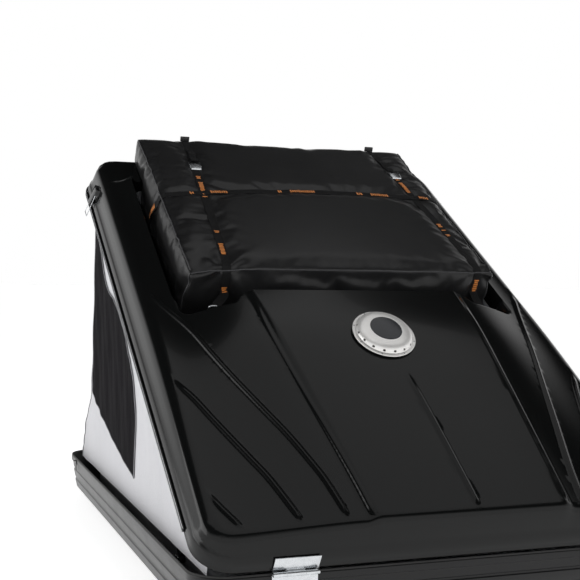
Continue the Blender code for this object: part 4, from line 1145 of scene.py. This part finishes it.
def makeTrim():
    t = trim

    def course(grow, height):
        points = [p for p in outlineAt(grow) if p[1] > 1.0]
        return [(shell["half"] + grow, t["front"], height)] + [(v, u, height) for v, u in points] \
            + [(-shell["half"] - grow, t["front"], height)]

    low, high, thick = t["low"], t["high"], t["thick"]
    shape = [(t["grow"], low), (thick * 0.8, low), (thick, low + 0.0012), (thick * 0.72, low + 0.0040),
             (thick * 0.62, (low + high) / 2), (thick * 0.72, high - 0.0040), (thick, high - 0.0012),
             (thick * 0.8, high), (t["grow"], high)]
    bm = bmesh.new()
    lines = [course(grow, height) for grow, height in shape]
    verts = [bm.verts.new(line[0]) for line in lines]
    edges = [bm.edges.new((a, b)) for a, b in zip(verts, verts[1:] + verts[:1])]
    bm.faces.new(verts)
    for station in range(1, len(lines[0])):
        made = bmesh.ops.extrude_edge_only(bm, edges=edges)["geom"]
        fresh = vertsOf(made)
        edges = [e for e in edgesOf(made) if e.verts[0] in fresh and e.verts[1] in fresh]
        for vert in fresh:
            which = min(range(len(lines)), key=lambda i: (Vector(lines[i][station - 1]) - vert.co).length)
            vert.co = lines[which][station]
    bmesh.ops.contextual_create(bm, geom=edges)
    bmesh.ops.recalc_face_normals(bm, faces=bm.faces)
    addPiece("rimTrim", bm, "lid", looks["blackMetal"], "lid_trim", lidToRow, 40)
    beads = [tube(course(thick - 0.0003, height), t["bead"], 2) for height in (low + 0.0016, high - 0.0016)]
    addPiece("rimBeads", joined(beads), "lid", looks["aluminium"], (), lidToRow, 60)


# A tub: one closed outline extruded through rings of (inset, height)
def ringShell(rings, cap):
    count = 4 * (tray["cornerSteps"] + 1)
    bm = bmesh.new()
    bmesh.ops.create_circle(bm, cap_ends=False, segments=count, radius=1.0)
    number = bm.verts.layers.int.new("number")
    for k, vert in enumerate(bm.verts):
        vert[number] = k
    edges = bm.edges[:]
    for step, (inset, height) in enumerate(rings):
        if step:
            made = bmesh.ops.extrude_edge_only(bm, edges=edges)["geom"]
            verts = vertsOf(made)
            fresh = set(verts)
            edges = [e for e in edgesOf(made) if e.verts[0] in fresh and e.verts[1] in fresh]
        else:
            verts = bm.verts[:]
            first = edges[:]
        course = outlineAt(-inset, tray["cornerSteps"])
        for vert in verts:
            v, u = course[vert[number]]
            vert.co = (v, u, height)
    if cap:
        bmesh.ops.contextual_create(bm, geom=first)
        bmesh.ops.contextual_create(bm, geom=edges)
    else:
        bmesh.ops.bridge_loops(bm, edges=first + edges)
    bmesh.ops.recalc_face_normals(bm, faces=bm.faces)
    return bm


def makeTray():
    t = tray
    top, bottom, taper = t["top"], t["bottom"], t["taper"]
    deep = top - bottom

    def lean(height):
        return taper * (top - height) / deep

    rings = [(taper + 0.012, bottom), (taper + 0.0050, bottom + 0.0012), (taper + 0.0012, bottom + 0.0050)]
    for low in (-0.100, -0.060):
        rings += [(lean(low) + 0.0002, low), (lean(low) + 0.0028, low + 0.003), (lean(low) + 0.0028, low + 0.008),
                  (lean(low) + 0.0002, low + 0.011)]
    rings += [(0.0055, -0.027), (0.0035, -0.0245), (0.0006, -0.0225), (0.0002, -0.0200), (0.0002, -0.0065),
              (0.0012, top - 0.0006), (0.0024, top), (0.0042, top), (0.0050, top - 0.0008), (0.0060, top - 0.010),
              (lean(-0.110) + 0.0056, -0.110), (taper + 0.0085, bottom + 0.0075), (taper + 0.0150, bottom + 0.0050)]
    addPiece("baseTray", ringShell(rings, True), "base", looks["baseShell"], "base_shell", baseToRow,
             30)
    seal = [(0.0012, -0.0040), (0.0010, -0.0030), (0.0012, 0.0002), (0.0018, 0.0009), (0.0025, 0.0010),
            (0.0034, 0.0009), (0.0038, 0.0002), (0.0039, -0.0030), (0.0036, -0.0040)]
    addPiece("rimSeal", ringShell(seal, False), "base", looks["rubber"], "base_seal", baseToRow, 40)


makeTrim()
makeTray()
say("trim and tray")


wall = {"x": 0.6565, "front": 0.075, "tuck": 0.010, "head": 1.945, "thick": 0.0009, "cell": 0.014,
        "windowCell": 0.012, "rearCell": 0.016, "rearHalf": 0.652}
# how far each layer stands off its wall
layer = {"window": 0.0026, "welt": 0.0034, "hem": 0.0012, "rear": 0.0030, "door": 0.0056, "zip": 0.0064}
door = {"low": 0.36, "high": 0.93, "half": 0.42}
rearEdge = [(1.905, -0.010), (1.830, 0.155), (1.735, 0.262), (1.722, 0.360), (1.715, 0.500), (1.680, 0.850)]
windowEdge = [(0.925, 0.092), (0.965, 0.084), (1.235, 0.135), (1.526, 0.208), (1.690, 0.272), (1.705, 0.420),
              (1.695, 0.620), (1.655, 0.900), (1.455, 0.690), (1.227, 0.600), (1.086, 0.504), (1.001, 0.435),
              (0.949, 0.331), (0.921, 0.230)]


def lidPoint(u, w):
    place = Matrix.Rotation(openAngle, 3, "X") @ Vector((0, u, w))
    return place.y, place.z


# How far the stretched wall stands in or out at (y, z)
def wallFolds(y, z):
    rise = np.maximum(np.tan(openAngle) * y, 0.02)
    t = np.clip(z / rise, 0, 1)
    slack = np.sin(math.pi * t)
    fall = 0.0020 * np.sin(2 * math.pi * (y + 0.15 * z) / 0.21) \
        + 0.0012 * np.sin(2 * math.pi * (y - 0.35 * z) / 0.095 + 1)
    fine = 0.0006 * np.sin(2 * math.pi * (y + 0.05 * z) / 0.037 + 3 * np.sin(8 * z))
    drag = 0.0022 * np.sin(46 * np.arctan2(z + 0.05, 2.05 - y)) * np.exp(-((y - 1.75) / 0.22) ** 2) \
        * np.exp(-((z - 0.10) / 0.20) ** 2)
    sag = -0.006 * slack * np.clip((y - 0.3) / 1.0, 0, 1)
    return (fall + fine) * slack + drag + sag


# A flat panel with the given (y, z) outline, cut fine and given the wall's folds
def clothPanel(name, outline, x, sign, look, node, cell, lift=0.0):
    bm = bmesh.new()
    bm.faces.new([bm.verts.new((0, y, z)) for y, z in outline])
    for axis, values in ((1, [p[0] for p in outline]), (2, [p[1] for p in outline])):
        low, high = min(values), max(values)
        cutAcross(bm, axis, low, high, int((high - low) / cell))
    area = sum(f.calc_area() for f in bm.faces)
    bmesh.ops.triangulate(bm, faces=[f for f in bm.faces if len(f.verts) > 4])
    for vert in bm.verts:
        y, z = vert.co.y, vert.co.z
        vert.co.x = sign * (x + lift + float(wallFolds(y, z)))
    faceTowards(bm, (sign, 0, 0))
    bmesh.ops.solidify(bm, geom=bm.faces[:], thickness=wall["thick"])
    piece = addPiece(name, bm, "base", looks[look], node, baseToRow, 60)
    return piece


def shrinkWithLid(piece):
    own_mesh(piece)


def makeSideWalls():
    topFront, topRear = lidPoint(wall["front"], wall["tuck"]), lidPoint(wall["head"], wall["tuck"])
    outline = [(wall["front"], -wall["tuck"])] + rearEdge + [topRear, topFront]
    loop = np.array(windowEdge[-2:] + windowEdge + windowEdge[:3])
    border = [tuple(p) for p in smoothRoute(loop, 10)[20:20 + 10 * len(windowEdge)]]
    for side, sign in sides.items():
        panelWall = clothPanel("fabricSide_" + side, outline, wall["x"], sign, "canvas", "side_wall_" + side,
                               wall["cell"])
        window = clothPanel("windowSide_" + side, border, wall["x"], sign, "windowMesh",
                            "side_window_" + side, wall["windowCell"], layer["window"])
        spots = [(sign * (wall["x"] + layer["welt"] + float(wallFolds(y, z))), y, z) for y, z in border]
        welt = tube(spots, 0.0016, 2, True)
        hem = tube([(sign * (wall["x"] + layer["hem"] + float(wallFolds(y, z))), y, z)
                    for y, z in smoothRoute(rearEdge + [topRear], 10)], 0.0022, 2)
        binding = addPiece("wallBinding_" + side, joined([welt, hem]), "base", looks["binding"], (),
                           baseToRow, 60)
        for piece in (panelWall, window, binding):
            shrinkWithLid(piece)


def makeRearWall():
    path = smoothRoute(rearEdge + [lidPoint(wall["head"], wall["tuck"])], 8)
    length = lengthAlong(path)

    def rearFold(x, z, s):
        slack = math.sin(math.pi * s / length[-1]) * (1 - (x / 0.66) ** 4)
        fold = 0.0035 * math.sin(2 * math.pi * (x + 0.1 * z) / 0.19) \
            + 0.0016 * math.sin(2 * math.pi * x / 0.083 + 5 * z)
        return (fold - 0.004) * slack

    def sheetAlong(name, low, high, half, lift, look, node):
        start, stop = np.interp(low, path[:, 1], length), np.interp(high, path[:, 1], length)
        bm = bmesh.new()
        bmesh.ops.create_grid(bm, x_segments=int(2 * half / wall["rearCell"]),
                              y_segments=int((stop - start) / wall["rearCell"]), size=1.0)
        for vert in bm.verts:
            x = vert.co.x * half
            s = start + (vert.co.y + 1) / 2 * (stop - start)
            y, z = np.interp(s, length, path[:, 0]), np.interp(s, length, path[:, 1])
            vert.co = (x, y + lift + rearFold(x, z, s), z)
        faceTowards(bm, (0, 1, 0))
        bmesh.ops.solidify(bm, geom=bm.faces[:], thickness=wall["thick"])
        piece = addPiece(name, bm, "base", looks[look], node, baseToRow, 60)
        return piece

    pieces = [sheetAlong("fabricRear", path[0, 1], path[-1, 1], wall["rearHalf"], layer["rear"], "canvas",
                         "rear_wall"),
              sheetAlong("doorRear", door["low"], door["high"], door["half"], layer["door"], "windowMesh",
                         "rear_door")]
    corners = []
    half, low, high = door["half"], door["low"], door["high"]
    levels = (low, 0.5, 0.65, 0.8, high)
    for x, z in [(-half, z) for z in levels] + [(x, high) for x in (-0.2, 0, 0.2)] \
            + [(half, z) for z in reversed(levels)] + [(x, low) for x in (0.2, 0, -0.2)]:
        s = float(np.interp(z, path[:, 1], length))
        corners.append((x, float(np.interp(s, length, path[:, 0])) + layer["zip"] + rearFold(x, z, s), z))
    dense = smoothRoute(corners + corners[:1], 6)[:-1]
    pieces.append(addPiece("doorZip", tube(dense, 0.0030, 2, True), "base", looks["binding"], (),
                           baseToRow, 60))
    for piece in pieces:
        shrinkWithLid(piece)


makeSideWalls()
makeRearWall()
say("fabric walls")


lining = {"columns": 44, "rows": 64, "middle": 1.003, "reach": 0.915, "sideGap": 0.058, "skinGap": 0.012,
          "rim": 0.036, "quilt": 0.14, "puff": 0.0025}


# Padded lining under the lid, a little in from its skin
def makeLiner():
    bm = bmesh.new()
    bmesh.ops.create_grid(bm, x_segments=lining["columns"], y_segments=lining["rows"], size=1.0)
    for vert in bm.verts:
        u = lining["middle"] + vert.co.y * lining["reach"]
        vert.co = (vert.co.x * (halfAt(u) - lining["sideGap"]), u, 0)
    co = np.array([v.co for v in bm.verts])
    edge = outlineInset(co[:, 1], co[:, 0])
    height = np.minimum(lidHeight(co[:, 1], co[:, 0]), topHeight(co[:, 1], co[:, 0])) - lining["skinGap"]
    cells = np.sin(math.pi * co[:, 0] / lining["quilt"]) * np.sin(math.pi * co[:, 1] / lining["quilt"])
    quilt = lining["puff"] * np.abs(cells) ** 0.5
    height = lining["rim"] + (height - lining["rim"]) * smoothStep((edge - 0.056) / 0.05) - quilt
    for vert, w in zip(bm.verts, height):
        vert.co.z = w
    hole = [f for f in bm.faces if (f.calc_center_median().xy - Vector((0, vent["at"]))).length < vent["liningHole"]]
    bmesh.ops.delete(bm, geom=hole, context="FACES")
    faceTowards(bm, (0, 0, -1))
    addPiece("lidLining", bm, "lid", looks["foam"], (), lidToRow, 60)


def makeMattress():
    low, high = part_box("mattress")
    low, high = Vector(low), Vector(high)
    bm = roundBox(low + Vector((0.003, 0.003, 0.0005)), high - Vector((0.003, 0.003, 0.008)), 0.018, 4)
    for axis in (0, 1):
        cutAcross(bm, axis, low[axis], high[axis], 14)
    middle, half = (low + high) / 2, (high - low) / 2
    for vert in bm.verts:
        if vert.co.z > middle.z:
            a, b = (vert.co.x - middle.x) / half.x, (vert.co.y - middle.y) / half.y
            vert.co.z += 0.007 * max(1 - a ** 4, 0) * max(1 - b ** 4, 0)
    piece = addPiece("sleepMat", bm, "base", looks["foam"], "mattress", None, 60)


makeLiner()
makeMattress()
say("lining and mattress")
